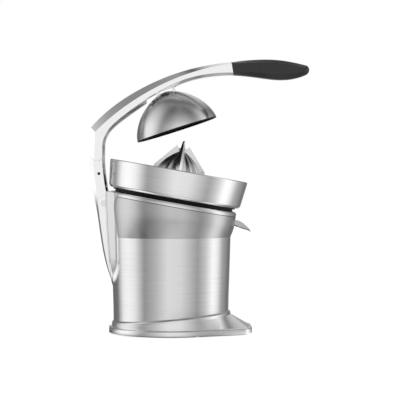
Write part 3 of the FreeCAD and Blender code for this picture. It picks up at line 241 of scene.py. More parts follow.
# Steel body
# One drawn sleeve of brushed sheet steel. It is straight up to the shoulder, and above it a cup
# flares and leans towards the spout. Its upper edge turns in under the collar, and the spout
# comes out through a window cut in its front.
mm = 0.001
collar_r = 102.4
shoulder_z = 152.5
shoulder_r = collar_r - 7.0
foot_r = shoulder_r - 3.4
body_wall = 1.2
seam_z = 28.0
seam_tilt = 5.0
seat_x = 3.0
seat_z = shoulder_z + 49.6
drive_tilt = 10.0
skirt_r = collar_r + 1.0
skirt_h = 11.3
lip_in_r = collar_r - 4.4
body_sides = 256
wall_steps = 6
cup_steps = 5
soft_steps = 10
soft_from = 0.6              # the cup meets the skirt in a soft curve: where it starts on the cup,
soft_to = 0.8                # and where it ends on the skirt, as shares of their heights
turn_in_z = -0.8             # the skirt turns in under the collar
turn_in_proud = 0.1
lip_z = -0.3
lip_round = 0.5
crease_sharp = 4
window_half = 13.2
window_low = -17.0
window_top = -2.4


def leaning(x, z, tilt):
    """Placement in the plane of symmetry: turned about Y, then moved."""
    return Matrix.Translation((x, 0, z)) @ Matrix.Rotation(math.radians(tilt), 4, "Y")


on_drive = leaning(seat_x, seat_z, drive_tilt)
on_seam = leaning(0, seam_z, -seam_tilt)


def up(height):
    return Matrix.Translation((0, 0, height))


def ring(made, radius, place, sides=body_sides):
    """Circle of edges about a placement's own Z axis."""
    corners = bmesh.ops.create_circle(made, segments=sides, radius=radius, matrix=place)["verts"]
    return list({edge for corner in corners for edge in corner.link_edges})


def bridged(made, rings):
    """Skins over a row of loops of edges."""
    for low, high in zip(rings, rings[1:]):
        bmesh.ops.bridge_loops(made, edges=low + high)


def block(low, high, place=Matrix()):
    """Box between two corners, then put in its place."""
    made = bmesh.new()
    size = Vector(high) - Vector(low)
    middle = Matrix.Translation((Vector(low) + Vector(high)) / 2) @ Matrix.Diagonal((*size, 1))
    bmesh.ops.create_cube(made, size=1.0, matrix=place @ middle)
    return made


def cut_away(made, cutter):
    """Takes a closed mesh out of a closed mesh."""
    things = []
    for shape in (made, cutter):
        store = bpy.data.meshes.new("cut")
        shape.to_mesh(store)
        shape.free()
        things.append(bpy.data.objects.new("cut", store))
        bpy.context.scene.collection.objects.link(things[-1])
    step = things[0].modifiers.new("cut", "BOOLEAN")
    step.object = things[1]
    step.solver = "MANIFOLD"
    bpy.context.view_layer.update()
    result = bmesh.new()
    result.from_object(things[0], bpy.context.evaluated_depsgraph_get())
    for thing in things:
        store = thing.data
        bpy.data.objects.remove(thing)
        bpy.data.meshes.remove(store)
    return result


def piece(name, made, finishes, body, nodes, sharp=40.0, edge=0.0, even=False):
    """Makes a scene piece from a mesh in millimetres, riding on a body in place of CAD nodes."""
    bmesh.ops.scale(made, vec=(mm, mm, mm), verts=made.verts)
    mesh = bpy.data.meshes.new(name)
    made.to_mesh(mesh)
    made.free()
    mesh.shade_smooth()
    mesh.set_sharp_from_angle(angle=math.radians(sharp))
    for finish in finishes:
        mesh.materials.append(finish)
    thing = bpy.data.objects.new(name, mesh)
    bpy.context.scene.collection.objects.link(thing)
    if edge:
        bevel = thing.modifiers.new("edge", "BEVEL")
        bevel.width = edge * mm
        bevel.segments = 2
        bevel.limit_method = "ANGLE"
        bevel.angle_limit = math.radians(sharp)
        bevel.miter_outer = "MITER_ARC"
    if edge or even:
        normals = thing.modifiers.new("even", "WEIGHTED_NORMAL")
        normals.keep_sharp = True
    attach(thing, body)
    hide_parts(*nodes)


def metal(name, grey, rough, tint=(1.0, 1.0, 1.0), metallic=1.0):
    """Material, its node tree and its shader, with the shader's constants set."""
    material = bpy.data.materials.new(name)
    material.use_nodes = True
    tree = material.node_tree
    shader = tree.nodes["Principled BSDF"]
    shader.inputs["Base Color"].default_value = (grey * tint[0], grey * tint[1], grey * tint[2], 1.0)
    shader.inputs["Metallic"].default_value = metallic
    shader.inputs["Roughness"].default_value = rough
    return material, tree, shader


def grain(tree, period, place=None, detail=2.0):
    """Noise in the piece's own frame. Period is its size in millimetres along each axis."""
    where = add_node(tree, "ShaderNodeMapping", vector_type="TEXTURE")
    feed(tree, where.inputs["Vector"], add_node(tree, "ShaderNodeTexCoord").outputs["Object"])
    if place is not None:
        where.inputs["Location"].default_value = place.to_translation() * mm
        where.inputs["Rotation"].default_value = place.to_euler()
    where.inputs["Scale"].default_value = Vector(period) * mm
    noise = add_node(tree, "ShaderNodeTexNoise")
    noise.inputs["Scale"].default_value = 1.0
    noise.inputs["Detail"].default_value = detail
    feed(tree, noise.inputs["Vector"], where.outputs[0])
    return noise.outputs[0]


def greys(tree, value, dark, light, tint=(1.0, 1.0, 1.0)):
    """Colour between two greys of one tint."""
    made = add_node(tree, "ShaderNodeMix", data_type="RGBA")
    feed(tree, made.inputs[0], value)
    made.inputs[6].default_value = (dark * tint[0], dark * tint[1], dark * tint[2], 1.0)
    made.inputs[7].default_value = (light * tint[0], light * tint[1], light * tint[2], 1.0)
    return made.outputs[2]


def raised(tree, shader, height, strength, depth):
    """Raises a surface by a height, at most by a depth in millimetres."""
    made = add_node(tree, "ShaderNodeBump")
    made.inputs["Strength"].default_value = strength
    made.inputs["Distance"].default_value = depth * mm
    feed(tree, made.inputs["Height"], height)
    feed(tree, shader.inputs["Normal"], made.outputs[0])


def brushed(name, grey, rough, place=None, lines=0.03, along=90.0, across=1.6):
    """Sheet steel drawn past an abrasive belt: long fine lines round the piece's axis."""
    material, tree, shader = metal(name, grey, rough)
    coarse = grain(tree, (along, along, across), place)
    fine = grain(tree, (along / 3, along / 3, across / 4), place)
    both = calculate(tree, "MULTIPLY", calculate(tree, "ADD", coarse, fine), 0.5)
    feed(tree, shader.inputs["Base Color"], greys(tree, spread(tree, both, 0, 1), grey - lines, grey + lines))
    feed(tree, shader.inputs["Roughness"], spread(tree, fine, rough - 0.03, rough + 0.05))
    raised(tree, shader, fine, 0.15, 0.04)
    return material


def satin(name, grey, rough, cloud=0.015, period=18.0, tint=(1.0, 1.0, 1.0)):
    """Bead-blasted or lightly polished metal: an even sheen with a faint cloudiness."""
    material, tree, shader = metal(name, grey, rough, tint)
    cloudy = grain(tree, (period, period, period), detail=3.0)
    shade = greys(tree, spread(tree, cloudy, 0, 1), grey - cloud, grey + cloud, tint)
    feed(tree, shader.inputs["Base Color"], shade)
    feed(tree, shader.inputs["Roughness"], spread(tree, cloudy, rough - 0.02, rough + 0.03))
    return material


body = bmesh.new()
lean = math.radians(drive_tilt)
band_x = seat_x - skirt_h * math.sin(lean)
band_z = seat_z - skirt_h * math.cos(lean)
stretch = Matrix.Diagonal((1 / math.cos(math.radians(seam_tilt)), 1, 1, 1))
wall = [ring(body, foot_r, on_seam @ stretch)]
for step in range(1, wall_steps + 1):
    share = step / wall_steps
    level = leaning(0, seam_z + (shoulder_z - seam_z) * share, -seam_tilt * (1 - share))
    wall.append(ring(body, foot_r + (shoulder_r - foot_r) * share, level))
shoulder = Vector((shoulder_r, 0.0, shoulder_z, 0.0))      # a ring: its radius, place and tilt
flare = Vector((skirt_r, band_x, band_z, drive_tilt))
under_seam = on_drive @ Vector((0, 0, turn_in_z))
skirt = Vector((collar_r + turn_in_proud, under_seam.x, under_seam.z, drive_tilt))
soft_low = shoulder.lerp(flare, soft_from)
soft_high = flare.lerp(skirt, soft_to)
cup = [shoulder.lerp(flare, soft_from * step / cup_steps) for step in range(1, cup_steps)]
for step in range(soft_steps + 1):
    share = step / soft_steps
    cup.append(soft_low.lerp(flare, share).lerp(flare.lerp(soft_high, share), share))
for radius, x, z, tilt in cup + [skirt]:
    wall.append(ring(body, radius, leaning(x, z, tilt)))
for radius in (collar_r - lip_round, lip_in_r):
    wall.append(ring(body, radius, on_drive @ up(lip_z)))
bridged(body, wall)
bmesh.ops.recalc_face_normals(body, faces=body.faces)
bmesh.ops.solidify(body, geom=list(body.faces), thickness=body_wall)
bmesh.ops.recalc_face_normals(body, faces=body.faces)
window = block((lip_in_r - 8, -window_half, window_low), (skirt_r + 12, window_half, window_top), on_drive)
body = cut_away(body, window)
for face in body.faces:
    if face.calc_center_median().z > shoulder_z:
        face.material_index = 1
body_steel = brushed("body_steel", 0.78, 0.14, lines=0.045)
cup_steel = satin("cup_steel", 0.6, 0.22)
piece("body_shell", body, (body_steel, cup_steel), "base", ("body_shell",),
      sharp=crease_sharp)

# Collar
# A turned steel ring on the seam over the cup, with a rounded shoulder that leads into the gap
# under the bowl. Its underside is stepped over the tub's flange.
collar_h = 7.5
collector_r = 95.0
flange_t = 2.1
turn_sides = 256


def section(corners):
    """Flat outline in the XZ plane as a mesh: a third number in a corner is its rounding radius."""
    made = bmesh.new()
    points = [made.verts.new((corner[0], 0, corner[1])) for corner in corners]
    made.faces.new(points)
    for i, corner in enumerate(corners):
        if len(corner) < 3:
            continue
        here = Vector(corner[:2])
        back = Vector(corners[i - 1][:2]) - here
        ahead = Vector(corners[(i + 1) % len(corners)][:2]) - here
        reach = corner[2] / math.tan(back.angle(ahead) / 2)
        bmesh.ops.bevel(made, geom=[points[i]], offset=reach, offset_type="OFFSET", segments=8, profile=0.5,
                        affect="VERTICES", material=-1)
    return made


def lathed(made, place, sides=turn_sides):
    """Turns a flat outline about Z into a closed skin, then puts it in its place."""
    bmesh.ops.delete(made, geom=list(made.faces), context="FACES_ONLY")
    bmesh.ops.spin(made, geom=list(made.verts) + list(made.edges), cent=(0, 0, 0), axis=(0, 0, 1),
                   dvec=(0, 0, 0), angle=2 * math.pi, steps=sides, use_merge=True)
    bmesh.ops.remove_doubles(made, verts=made.verts, dist=0.001)
    on_axis = [edge for edge in made.edges if not edge.link_faces]
    bmesh.ops.delete(made, geom=on_axis, context="EDGES")
    bmesh.ops.transform(made, matrix=place, verts=made.verts)
    bmesh.ops.recalc_face_normals(made, faces=made.faces)
    return made


collar = section([(collar_r, 0.3), (collar_r, collar_h, 4.6), (collector_r + 1, collar_h),
                  (collector_r + 1, flange_t), (lip_in_r + 2.8, flange_t), (lip_in_r + 2.8, 0.0),
                  (collar_r - 0.5, 0.0)])
collar_steel = satin("collar_steel", 0.78, 0.2)
piece("collar_ring", lathed(collar, on_drive), (collar_steel,), "base", ("collar_ring",))

# Bowl
# A drawn and brushed steel bowl that lifts off the collector's ledge. Its rim is rolled over and
# its lower corner has a soft heel.
bowl_low = 12.9
bowl_h = 44.2
bowl_top_r = 111.4
bowl_low_r = 105.9
bowl_wall = 1.2
bowl_top = bowl_low + bowl_h
bowl = section([(collector_r + 0.3, bowl_low), (bowl_low_r, bowl_low, 6.0), (bowl_top_r, bowl_top, 2.2),
                (bowl_top_r - 4.6, bowl_top, 0.5), (bowl_top_r - 4.6, bowl_top - 1.2, 0.5),
                (bowl_top_r - bowl_wall - 0.6, bowl_top - 1.2, 0.6),
                (bowl_low_r - bowl_wall, bowl_low + bowl_wall, 4.8), (collector_r + 0.3, bowl_low + bowl_wall)])
bowl_steel = brushed("bowl_steel", 0.88, 0.17, on_drive, lines=0.05)
piece("bowl_skirt", lathed(bowl, on_drive), (bowl_steel,), "base", ("bowl_skirt",))

# Dome
# A drawn steel cup of satin finish that presses the fruit. A black moulded liner with ribs fills
# it and shows as a thin lip round the rim.
dome_x = 9.9
dome_z = 323.2
dome_tilt = -17.8
dome_r = 66.2
dome_h = 64.0
dome_power = 1.65
dome_wall = 1.2
lip_h = 1.5
liner_t = 2.3
liner_ribs = 12
rib_low = 20.0
rib_high = 56.0
rib_proud = 2.2
rib_half = 0.9
dome_steps = 28
on_dome = leaning(dome_x, dome_z, dome_tilt)


def dome_line(inset, low):
    """Points of the dome's own curve, from the height of its lower edge up to the crown."""
    radius = dome_r - inset
    height = dome_h - inset
    start = math.asin((low / height) ** (dome_power / 2))
    points = []
    for step in range(dome_steps + 1):
        turn = start + (math.pi / 2 - start) * step / dome_steps
        level = height * math.sin(turn) ** (2 / dome_power)
        points.append((radius * max(0.0, math.cos(turn)) ** (2 / dome_power), level))
    points[-1] = (0.0, height)
    return points


def plate(corners, low, high):
    """Flat outline in the XZ plane given depth across the part."""
    made = section(corners)
    bmesh.ops.translate(made, vec=(0, low, 0), verts=made.verts)
    grown = bmesh.ops.extrude_face_region(made, geom=list(made.faces))["geom"]
    moved = [item for item in grown if isinstance(item, bmesh.types.BMVert)]
    bmesh.ops.translate(made, vec=(0, high - low, 0), verts=moved)
    bmesh.ops.recalc_face_normals(made, faces=made.faces)
    return made


def join(made, other):
    """Adds another mesh to this one and gives the edges that it brings."""
    store = bpy.data.meshes.new("join")
    other.to_mesh(store)
    other.free()
    count = len(made.edges)
    made.from_mesh(store)
    bpy.data.meshes.remove(store)
    made.edges.ensure_lookup_table()
    return made.edges[count:]


dome = section(dome_line(0, lip_h) + dome_line(dome_wall, lip_h)[::-1])
dome_steel = satin("dome_steel", 0.74, 0.24)
piece("dome_shell", lathed(dome, on_dome), (dome_steel,), "dome", ("dome_shell",), 60)

liner_in = dome_wall + liner_t
liner = section([(dome_r - 0.2, 0, 0.8), (dome_r - 0.2, lip_h - 0.1)] + dome_line(dome_wall + 0.05, lip_h + 0.1)
                + dome_line(liner_in, lip_h)[::-1] + [(dome_r - liner_in - 0.4, 0.0)])
liner = lathed(liner, on_dome)
outer_line = [point for point in dome_line(liner_in - 0.5, rib_low) if point[1] < rib_high]
inner_line = [point for point in dome_line(liner_in + rib_proud, rib_low) if point[1] < rib_high]
for step in range(liner_ribs):
    rib = plate(outer_line + inner_line[::-1], -rib_half, rib_half)
    place = on_dome @ Matrix.Rotation(2 * math.pi * step / liner_ribs, 4, "Z")
    bmesh.ops.transform(rib, matrix=place, verts=rib.verts)
    join(liner, rib)
# Black moulded resin, its own colour, made nearer black than real resin and with damped specular, so that the
# gap under the bowl renders as painted deep shade.
black_resin_gap_shade, tree, shader = metal("black_resin_gap_shade", 0.004, 0.42, metallic=0.0)
shader.inputs["Specular IOR Level"].default_value = 0.15
feed(tree, shader.inputs["Roughness"], spread(tree, grain(tree, (3, 3, 3)), 0.36, 0.5))
raised(tree, shader, grain(tree, (0.5, 0.5, 0.5)), 0.2, 0.05)
piece("dome_liner", liner, (black_resin_gap_shade,), "dome", ("dome_liner",), 50)

# Reamer
# A cast alloy cone with eighteen flutes, a flat button at its top and two pairs of blades: thin
# notched ones along the press, and ones across it that taper from the axis to a ridge. It lifts
# off its shaft for washing.
reamer_low = 26.0
reamer_ribs = 18
flute_depth = 0.085 * 1.3    # as a share of the radius, deeper than in the CAD's straight loft
flute_power = 0.6            # under 1 makes the hollows broad and the crests narrow
flute_low = 30.0             # the skirt under this height is plain
rib_sides = 8
rib_profile = ((44.5, 26.0), (44.5, 34.0), (43.3, 41.0), (41.0, 48.0), (38.2, 54.2), (34.6, 60.0), (31.5, 64.7),
               (28.0, 69.0), (24.4, 73.0), (20.5, 76.5), (16.8, 79.8), (13.0, 82.5), (9.3, 84.9), (5.5, 87.0))
fin_t = 2.0
crown_r = 6.0
crown_top = 92.6
hub_r = 9.0
hub_low = 14.0
hub_top = 78.0
hub_gap = 0.2
bore_r = 5.06
bore_top = 57.2
rod_r = 2.0
rod_top = 64.0
pin_slot_half = 1.7
pin_slot_top = 28.1
hub_sides = 64
hollow_line = ((37.7, 31.6), (34.5, 45.6), (28.7, 57.6), (22.6, 66.6), (15.8, 74.1))
long_blade = ((-44.5, 34.0), (44.5, 34.0), (41.0, 61.0), (10.0, 97.0), (5.4, 92.0), (-5.4, 92.0), (-10.0, 97.0),
              (-41.0, 61.0))
cross_blade = ((44.5, 4.6, 34.0), (41.0, 4.6, 60.5), (33.8, 4.5, 71.0), (25.0, 4.4, 80.0), (16.5, 4.0, 88.0),
               (12.0, 3.7, 92.0), (6.5, 3.0, 97.0), (4.4, 2.6, 100.2), (3.0, 2.1, 102.5), (2.0, 1.5, 104.2),
               (0.9, 0.8, 105.0))
ridge_half = 0.4
ridge_share = 0.5            # the ridge narrows to this share where the blade gets thin
near_share = 0.25            # least reach of a blade's flat face, as a share of the blade's
cone = bmesh.new()
flutes = []
for radius, height in rib_profile:
    edges = ring(cone, radius, up(height), reamer_ribs * rib_sides)
    for corner in {corner for edge in edges for corner in edge.verts}:
        turn = math.atan2(corner.co.y, corner.co.x) * reamer_ribs
        depth = ((1 - math.cos(turn)) / 2) ** flute_power if height > flute_low else 0.0
        corner.co.x *= 1 - flute_depth * depth
        corner.co.y *= 1 - flute_depth * depth
    flutes.append(edges)
bridged(cone, flutes)
bmesh.ops.edgeloop_fill(cone, edges=flutes[-1])
bmesh.ops.edgeloop_fill(cone, edges=flutes[0])
bmesh.ops.recalc_face_normals(cone, faces=cone.faces)


def hollow():
    """Space inside the cone, open at its lower edge."""
    low = reamer_low - 1
    corners = [(0, low), (hollow_line[0][0], low), *hollow_line, (0, hollow_line[-1][1])]
    return lathed(section(corners), Matrix(), 96)


cone = cut_away(cone, hollow())
button = section([(0, hub_top), (crown_r, hub_top), (crown_r, crown_top, 0.6), (0, crown_top)])
join(cone, lathed(button, Matrix(), hub_sides))
hub = section([(bore_r, hub_low), (hub_r, hub_low), (hub_r, hub_top - hub_gap), (0, hub_top - hub_gap),
               (0, rod_top), (rod_r, rod_top), (rod_r, bore_top), (bore_r, bore_top)])
slot = block((-20, -pin_slot_half, hub_low - 1), (20, pin_slot_half, pin_slot_top))
join(cone, cut_away(lathed(hub, Matrix(), hub_sides), slot))
join(cone, cut_away(plate(long_blade, -fin_t / 2, fin_t / 2), hollow()))


def loop(made, points):
    """Closed row of edges through points."""
    corners = [made.verts.new(point) for point in points]
    return [made.edges.new((corner, corners[i - 1])) for i, corner in enumerate(corners)]


blade = bmesh.new()
levels = []
for reach, half, height in cross_blade:
    near = max(reach - half, reach * near_share)
    quarter = [(half, near), (min(ridge_half, half * ridge_share), reach)]
    points = quarter + [(-x, y) for x, y in quarter[::-1]]
    points += [(-x, -y) for x, y in points]
    levels.append(loop(blade, [(x, y, height) for x, y in points]))
bridged(blade, levels)
for edges in (levels[0], levels[-1]):
    bmesh.ops.edgeloop_fill(blade, edges=edges)
bmesh.ops.recalc_face_normals(blade, faces=blade.faces)
join(cone, cut_away(blade, hollow()))
bmesh.ops.transform(cone, matrix=on_drive, verts=cone.verts)
reamer_alloy = satin("reamer_alloy", 0.85, 0.3)
piece("reamer_cone", cone, (reamer_alloy,), "reamer", ("reamer_cone",), 35)

# Foot
# A die-cast alloy base, blasted and lacquered: a rim with a rounded edge, a flank that runs out
# to a wide nose under the spout, and a rounded bead under the body. It is open below for its cover.
rim_r = foot_r + 7.0
rim_low = 1.6
rim_top = 10.6
rim_edge_r = 3.0
edge_steps = 6
nose_x = rim_r + 30.3
nose_half = 50.0
nose_bulge = 2.0
nose_corner_r = 20.0
nose_clear = 27.0
flank_step = 5.0
foot_wall = 4.0
ledge_in = 10.0              # the rim's inner ledge: its reach, thickness and step
ledge_t = 3.0
cover_top = 3.7
bead_h = 7.0
bead_proud = 3.6
ramp_half_angle = 4.0
gland_r = 3.9
gland_z = 6.2
back_steps = 128
side_steps = 16
nose_steps = 16
long_side = 25.0             # edges of the plan over this length are divided


def foot_turn(inset):
    """Front, half width and radius of the foot's plan, and the angle where its straight side starts."""
    radius = rim_r - inset
    front = nose_x - nose_bulge - inset
    half = nose_half - inset * 0.7
    return front, half, radius, math.atan2(half, front) + math.acos(radius / math.hypot(front, half))


def foot_loop(made, inset, height):
    """Plan of the foot as a loop of edges: round at the back, straight sides, rounded corners, bowed nose."""
    front, half, radius, turn = foot_turn(inset)
    corners = []
    for step in range(back_steps + 1):
        angle = turn + (2 * math.pi - 2 * turn) * step / back_steps
        corners.append((radius * math.cos(angle), radius * math.sin(angle)))
    corners.append((front, -half, nose_corner_r - inset))
    reach = half - nose_clear + inset * 0.3
    for step in range(nose_steps + 1):
        across = -reach + 2 * reach * step / nose_steps
        corners.append((front + nose_bulge * (1 - (across / half) ** 2), across))
    corners.append((front, half, nose_corner_r - inset))
    flat = section(corners)
    bmesh.ops.delete(flat, geom=list(flat.faces), context="FACES_ONLY")
    sides = [edge for edge in flat.edges if edge.calc_length() > long_side]
    bmesh.ops.subdivide_edges(flat, edges=sides, cuts=side_steps)
    bmesh.ops.transform(flat, matrix=up(height) @ Matrix.Rotation(-math.pi / 2, 4, "X"), verts=flat.verts)
    return join(made, flat)


foot = bmesh.new()
profile = [(0.0, rim_low)]
for step in range(edge_steps + 1):
    turn = math.pi / 2 * step / edge_steps
    profile.append((rim_edge_r * (1 - math.cos(turn)), rim_top - rim_edge_r * (1 - math.sin(turn))))
profile += [(ledge_in, rim_top), (ledge_in, rim_top - ledge_t), (foot_wall + ledge_t, rim_top - ledge_t),
            (foot_wall + ledge_t, cover_top), (foot_wall, cover_top), (foot_wall, rim_low)]
rim = [foot_loop(foot, inset, height) for inset, height in profile]
bridged(foot, rim + rim[:1])
bmesh.ops.recalc_face_normals(foot, faces=foot.faces)
gland_hole = section([(0, -8.0), (gland_r + 0.5, -8.0), (gland_r + 0.5, 1.5), (gland_r, 1.5),
                      (gland_r, 16.0), (0, 16.0)])
foot = cut_away(foot, lathed(gland_hole, leaning(0.1 - rim_r, gland_z, 90), 48))

flank = bmesh.new()
front, half, radius, turn = foot_turn(flank_step)
ramp_turn = math.radians(ramp_half_angle)
stops = ((turn, 2 * math.pi - turn, back_steps), (2 * math.pi - turn, 2 * math.pi - ramp_turn, side_steps),
         (2 * math.pi - ramp_turn, 2 * math.pi + ramp_turn, nose_steps),
         (2 * math.pi + ramp_turn, 2 * math.pi + turn, side_steps))
turns = [start + (stop - start) * step / steps for start, stop, steps in stops for step in range(steps)]


def flank_plan(inset):
    """Plan of the flank's lower edge, with sharp corners at the nose."""
    front, half, radius, turn = foot_turn(inset)
    points = [Vector((radius * math.cos(angle), radius * math.sin(angle), 0)) for angle in turns[:back_steps]]
    right = Vector((radius * math.cos(turn), -radius * math.sin(turn), 0))
    corner = Vector((front, -half, 0))
    side = [right.lerp(corner, step / side_steps) for step in range(side_steps)]
    points += side
    for step in range(nose_steps):
        across = -half + 2 * half * step / nose_steps
        points.append(Vector((front + nose_bulge * (1 - (across / half) ** 2), across, 0)))
    points += [Vector((point.x, -point.y, 0)) for point in [corner] + side[:0:-1]]
    return points


def neck_plan(radius, height):
    """Circle under the body's tilted seam, with as many points as the flank's lower edge."""
    place = leaning(0, seam_z - bead_h + height, -seam_tilt)
    return [place @ Vector((radius * math.cos(angle), radius * math.sin(angle), 0)) for angle in turns]


neck_r = foot_r + bead_proud - 0.6
outer_low = flank_plan(flank_step)
inner_low = flank_plan(flank_step + foot_wall)
rows = [loop(flank, [point + Vector((0, 0, height)) for point in plan])
        for plan, height in ((outer_low, rim_top - 1), (outer_low, rim_top))]
rows += [loop(flank, neck_plan(neck_r, 0.4)), loop(flank, neck_plan(neck_r, 1.6)),
         loop(flank, neck_plan(neck_r - foot_wall, 1.6)), loop(flank, neck_plan(neck_r - foot_wall, -2.0))]
rows.append(loop(flank, [point + Vector((0, 0, rim_top - 1)) for point in inner_low]))
bridged(flank, rows + rows[:1])
bmesh.ops.recalc_face_normals(flank, faces=flank.faces)
join(foot, flank)
bead = section([(foot_r - 8, 0), (foot_r + 0.4, 0, 0.3), (foot_r + bead_proud, -bead_h * 0.45, 2.4),
                (foot_r + bead_proud - 1.0, -bead_h), (foot_r - 8, -bead_h)])
join(foot, lathed(bead, on_seam))
foot_alloy = satin("foot_alloy", 0.88, 0.24)
piece("base_casting", foot, (foot_alloy,), "base", ("base_casting",), 28)

# Rear pillar
# A hump of cast alloy set against the body's back and satin polished; the photo doesn't show how it
# is fixed. Its back and sides are flat, its lower end is round and its flanks run out onto the body
# in a hollow curve.
pillar_half = 46.5
pillar_corner = 3.0
pillar_top = 5.0
pillar_seam = 0.3
flank_r = 7.7
end_r = 47.0                 # radius of the hump's round lower end
end_z = 120.0                # height of the middle of that end
end_steps = 16
end_share = 0.97             # the round end stops short of its lowest point
level_gap = 3.0
level_count = 37
pillar_backs = ((232.1, -102.3), (202.1, -102.1), (168.5, -100.4), (139.0, -98.7), (120.0, -96.9),
                (108.0, -95.8), (98.0, -95.0), (89.5, -94.2), (81.5, -93.5), (74.0, -92.4))
pillar_widths = ((232.1, 1.02), (202.1, 1.01), (168.5, 0.99), (139.0, 0.975), (120.0, 0.965), (74.0, 0.965))
under_skin = ((0.25, 0.16), (0.9, 0.17), (0.9, 0.0))     # depth under the body's skin, and radians round it


def between(table, place):
    """Value at a place in a table of (place, value) that runs downwards."""
    for (high, first), (low, last) in zip(table, table[1:]):
        if place >= low - 0.001:
            return first + (last - first) * (high - place) / (high - low)
    return table[-1][1]


def hump(inset):
    """The whole hump, drawn in by an inset."""
    made = bmesh.new()
    levels = [pillar_backs[0][0] - level_gap * step for step in range(level_count)]
    levels += [end_z - end_r * math.sin(math.pi / 2 * end_share * step / end_steps)
               for step in range(end_steps + 1)]
    rows = []
    for z in levels:
        rear = between(pillar_backs, z) + inset
        half = pillar_half * between(pillar_widths, z) - inset
        if z < end_z:
            half *= math.sqrt(1 - ((end_z - z) / end_r) ** 2)
        radius = foot_r + (shoulder_r - foot_r) * (z - seam_z) / (shoulder_z - seam_z)
        meet = math.asin(half / radius)
        under = [(-(radius - depth) * math.cos(meet + more), (radius - depth) * math.sin(meet + more))
                 for depth, more in under_skin]
        corners = [(rear, half, min(pillar_corner, half * 0.45)),
                   (-radius * math.cos(meet), half, flank_r), *under]
        corners += [(x, -y, *more) for x, y, *more in corners[::-1]]
        flat = section(corners)
        bmesh.ops.delete(flat, geom=list(flat.faces), context="FACES_ONLY")
        bmesh.ops.transform(flat, matrix=up(z) @ Matrix.Rotation(-math.pi / 2, 4, "X"), verts=flat.verts)
        rows.append(join(made, flat))
    bridged(made, rows)
    for row in (rows[0], rows[-1]):
        bmesh.ops.edgeloop_fill(made, edges=row)
    bmesh.ops.recalc_face_normals(made, faces=made.faces)
    return made


def kept(made, low, high):
    """Part of a closed mesh between two heights along the tilted axis, closed again."""
    for height, side in ((low, -1), (high, 1)):
        if height is None:
            continue
        cut = bmesh.ops.bisect_plane(made, geom=list(made.verts) + list(made.edges) + list(made.faces),
                                     plane_co=(on_drive @ Vector((0, 0, height))),
                                     plane_no=(on_drive.to_3x3() @ Vector((0, 0, side))), clear_outer=True)
        rim = [item for item in cut["geom_cut"] if isinstance(item, bmesh.types.BMEdge)]
        bmesh.ops.edgeloop_fill(made, edges=rim)
    return made


pillar = kept(hump(0), None, -pillar_seam)
join(pillar, kept(hump(0), pillar_seam, pillar_top))
join(pillar, kept(hump(0.6), -2.0, 2.0))
pillar_alloy = satin("pillar_alloy", 0.86, 0.2)
piece("rear_pillar", pillar, (pillar_alloy,), "base", ("rear_pillar",), 30, even=True)

# Spine and post
# The alloy spine runs up the back of the hump, and the post is slipped over the spine's tenon and
# pinned. Both are cast, ground and satin polished, with a fine joint round the knee.
alloy_edge = 0.9


def merged(node):
    """Copy of a CAD node in millimetres, with its loose triangles merged into faces."""
    made = bmesh.new()
    made.from_mesh(frame["nodes"][node].data)
    bmesh.ops.scale(made, vec=(1 / mm, 1 / mm, 1 / mm), verts=made.verts)
    bmesh.ops.remove_doubles(made, verts=made.verts, dist=0.002)
    bmesh.ops.dissolve_limit(made, angle_limit=math.radians(0.4), verts=made.verts, edges=made.edges)
    return made


post_alloy = satin("post_alloy", 0.98, 0.16, cloud=0.008)
for name in ("rear_spine", "hinge_post"):
    piece(name, merged(name), (post_alloy,), "base", (name,), 25, edge=alloy_edge)

# Lever arm
# A long die-cast arm with bevelled edges, forked at the hinge and open underneath where the
# dome hangs. It is satin polished all over.
arm_alloy = satin("arm_alloy", 0.98, 0.16, cloud=0.008)
piece("arm_casting", merged("arm_casting"), (arm_alloy,), "arm", ("arm_casting",), 25,
      edge=alloy_edge)

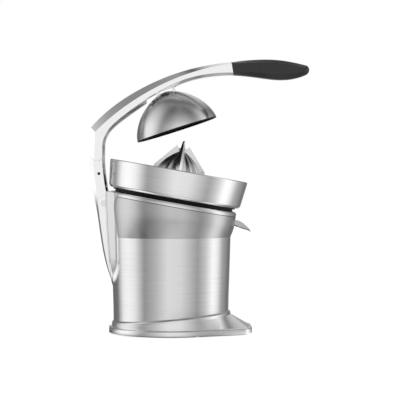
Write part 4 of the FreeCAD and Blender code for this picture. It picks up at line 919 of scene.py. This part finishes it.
# Grip
# A charcoal rubber sleeve moulded over the arm's tang. Its skin is finely grained, and the edges
# along its sides are soft.
grip_rubber, tree, shader = metal("grip_rubber", 0.014, 0.35, metallic=0.0)
feed(tree, shader.inputs["Roughness"], spread(tree, grain(tree, (6, 6, 6)), 0.3, 0.4))
raised(tree, shader, grain(tree, (0.4, 0.4, 0.4)), 0.1, 0.04)
piece("arm_grip", merged("arm_grip"), (grip_rubber,), "arm", ("arm_grip",), 25, edge=0.8)

# Spout
# A cast alloy beak in the body's window. It tips up on its pin to stop the drip, and is satin
# polished.
spout_alloy = satin("spout_alloy", 0.5, 0.2)
piece("spout", merged("spout"), (spout_alloy,), "spout", ("spout",), 35, edge=0.25)

# Pieces that stay as they are built
# Fasteners, pins, the tub and everything inside the body keep their own shapes, and each gets
# the finish of what it is made of.


def moulded(name, colour, rough):
    """Moulded plastic or rubber with a fine grain."""
    material, tree, shader = metal(name, 1.0, rough, colour, 0.0)
    feed(tree, shader.inputs["Roughness"], spread(tree, grain(tree, (4, 4, 4)), rough - 0.06, rough + 0.08))
    raised(tree, shader, grain(tree, (0.7, 0.7, 0.7)), 0.15, 0.05)
    return material


finishes = {
    "brushed_steel": brushed("sheet_steel", 0.7, 0.24, on_drive),
    "satin_steel": satin("satin_steel", 0.74, 0.22),
    "cast_alloy": satin("cast_alloy", 0.85, 0.2),
    "black_steel": satin("black_steel", 0.05, 0.35),
    "zinc_steel": satin("zinc_steel", 0.6, 0.3),
    "core_steel": satin("core_steel", 0.3, 0.45),
    "brass": satin("brass", 0.8, 0.3, tint=(1.0, 0.78, 0.42)),
    "copper": satin("copper", 0.8, 0.3, tint=(1.0, 0.55, 0.38)),
    # The black parts take the resin whose near-black also paints the shade in the gap under the bowl.
    "black_plastic": black_resin_gap_shade,
    "gear_plastic": moulded("gear_plastic", (0.7, 0.68, 0.62), 0.4),
    "board": moulded("board", (0.03, 0.14, 0.06), 0.4),
    "soft_grip": grip_rubber,
    "rubber": moulded("rubber", (0.03, 0.03, 0.03), 0.7),
}
slots = {part["node"]: part["material_slot"] for part in frame["record"]["subparts"]}
for name, node in frame["nodes"].items():
    node.data.materials.clear()
    node.data.materials.append(finishes[slots[name]])
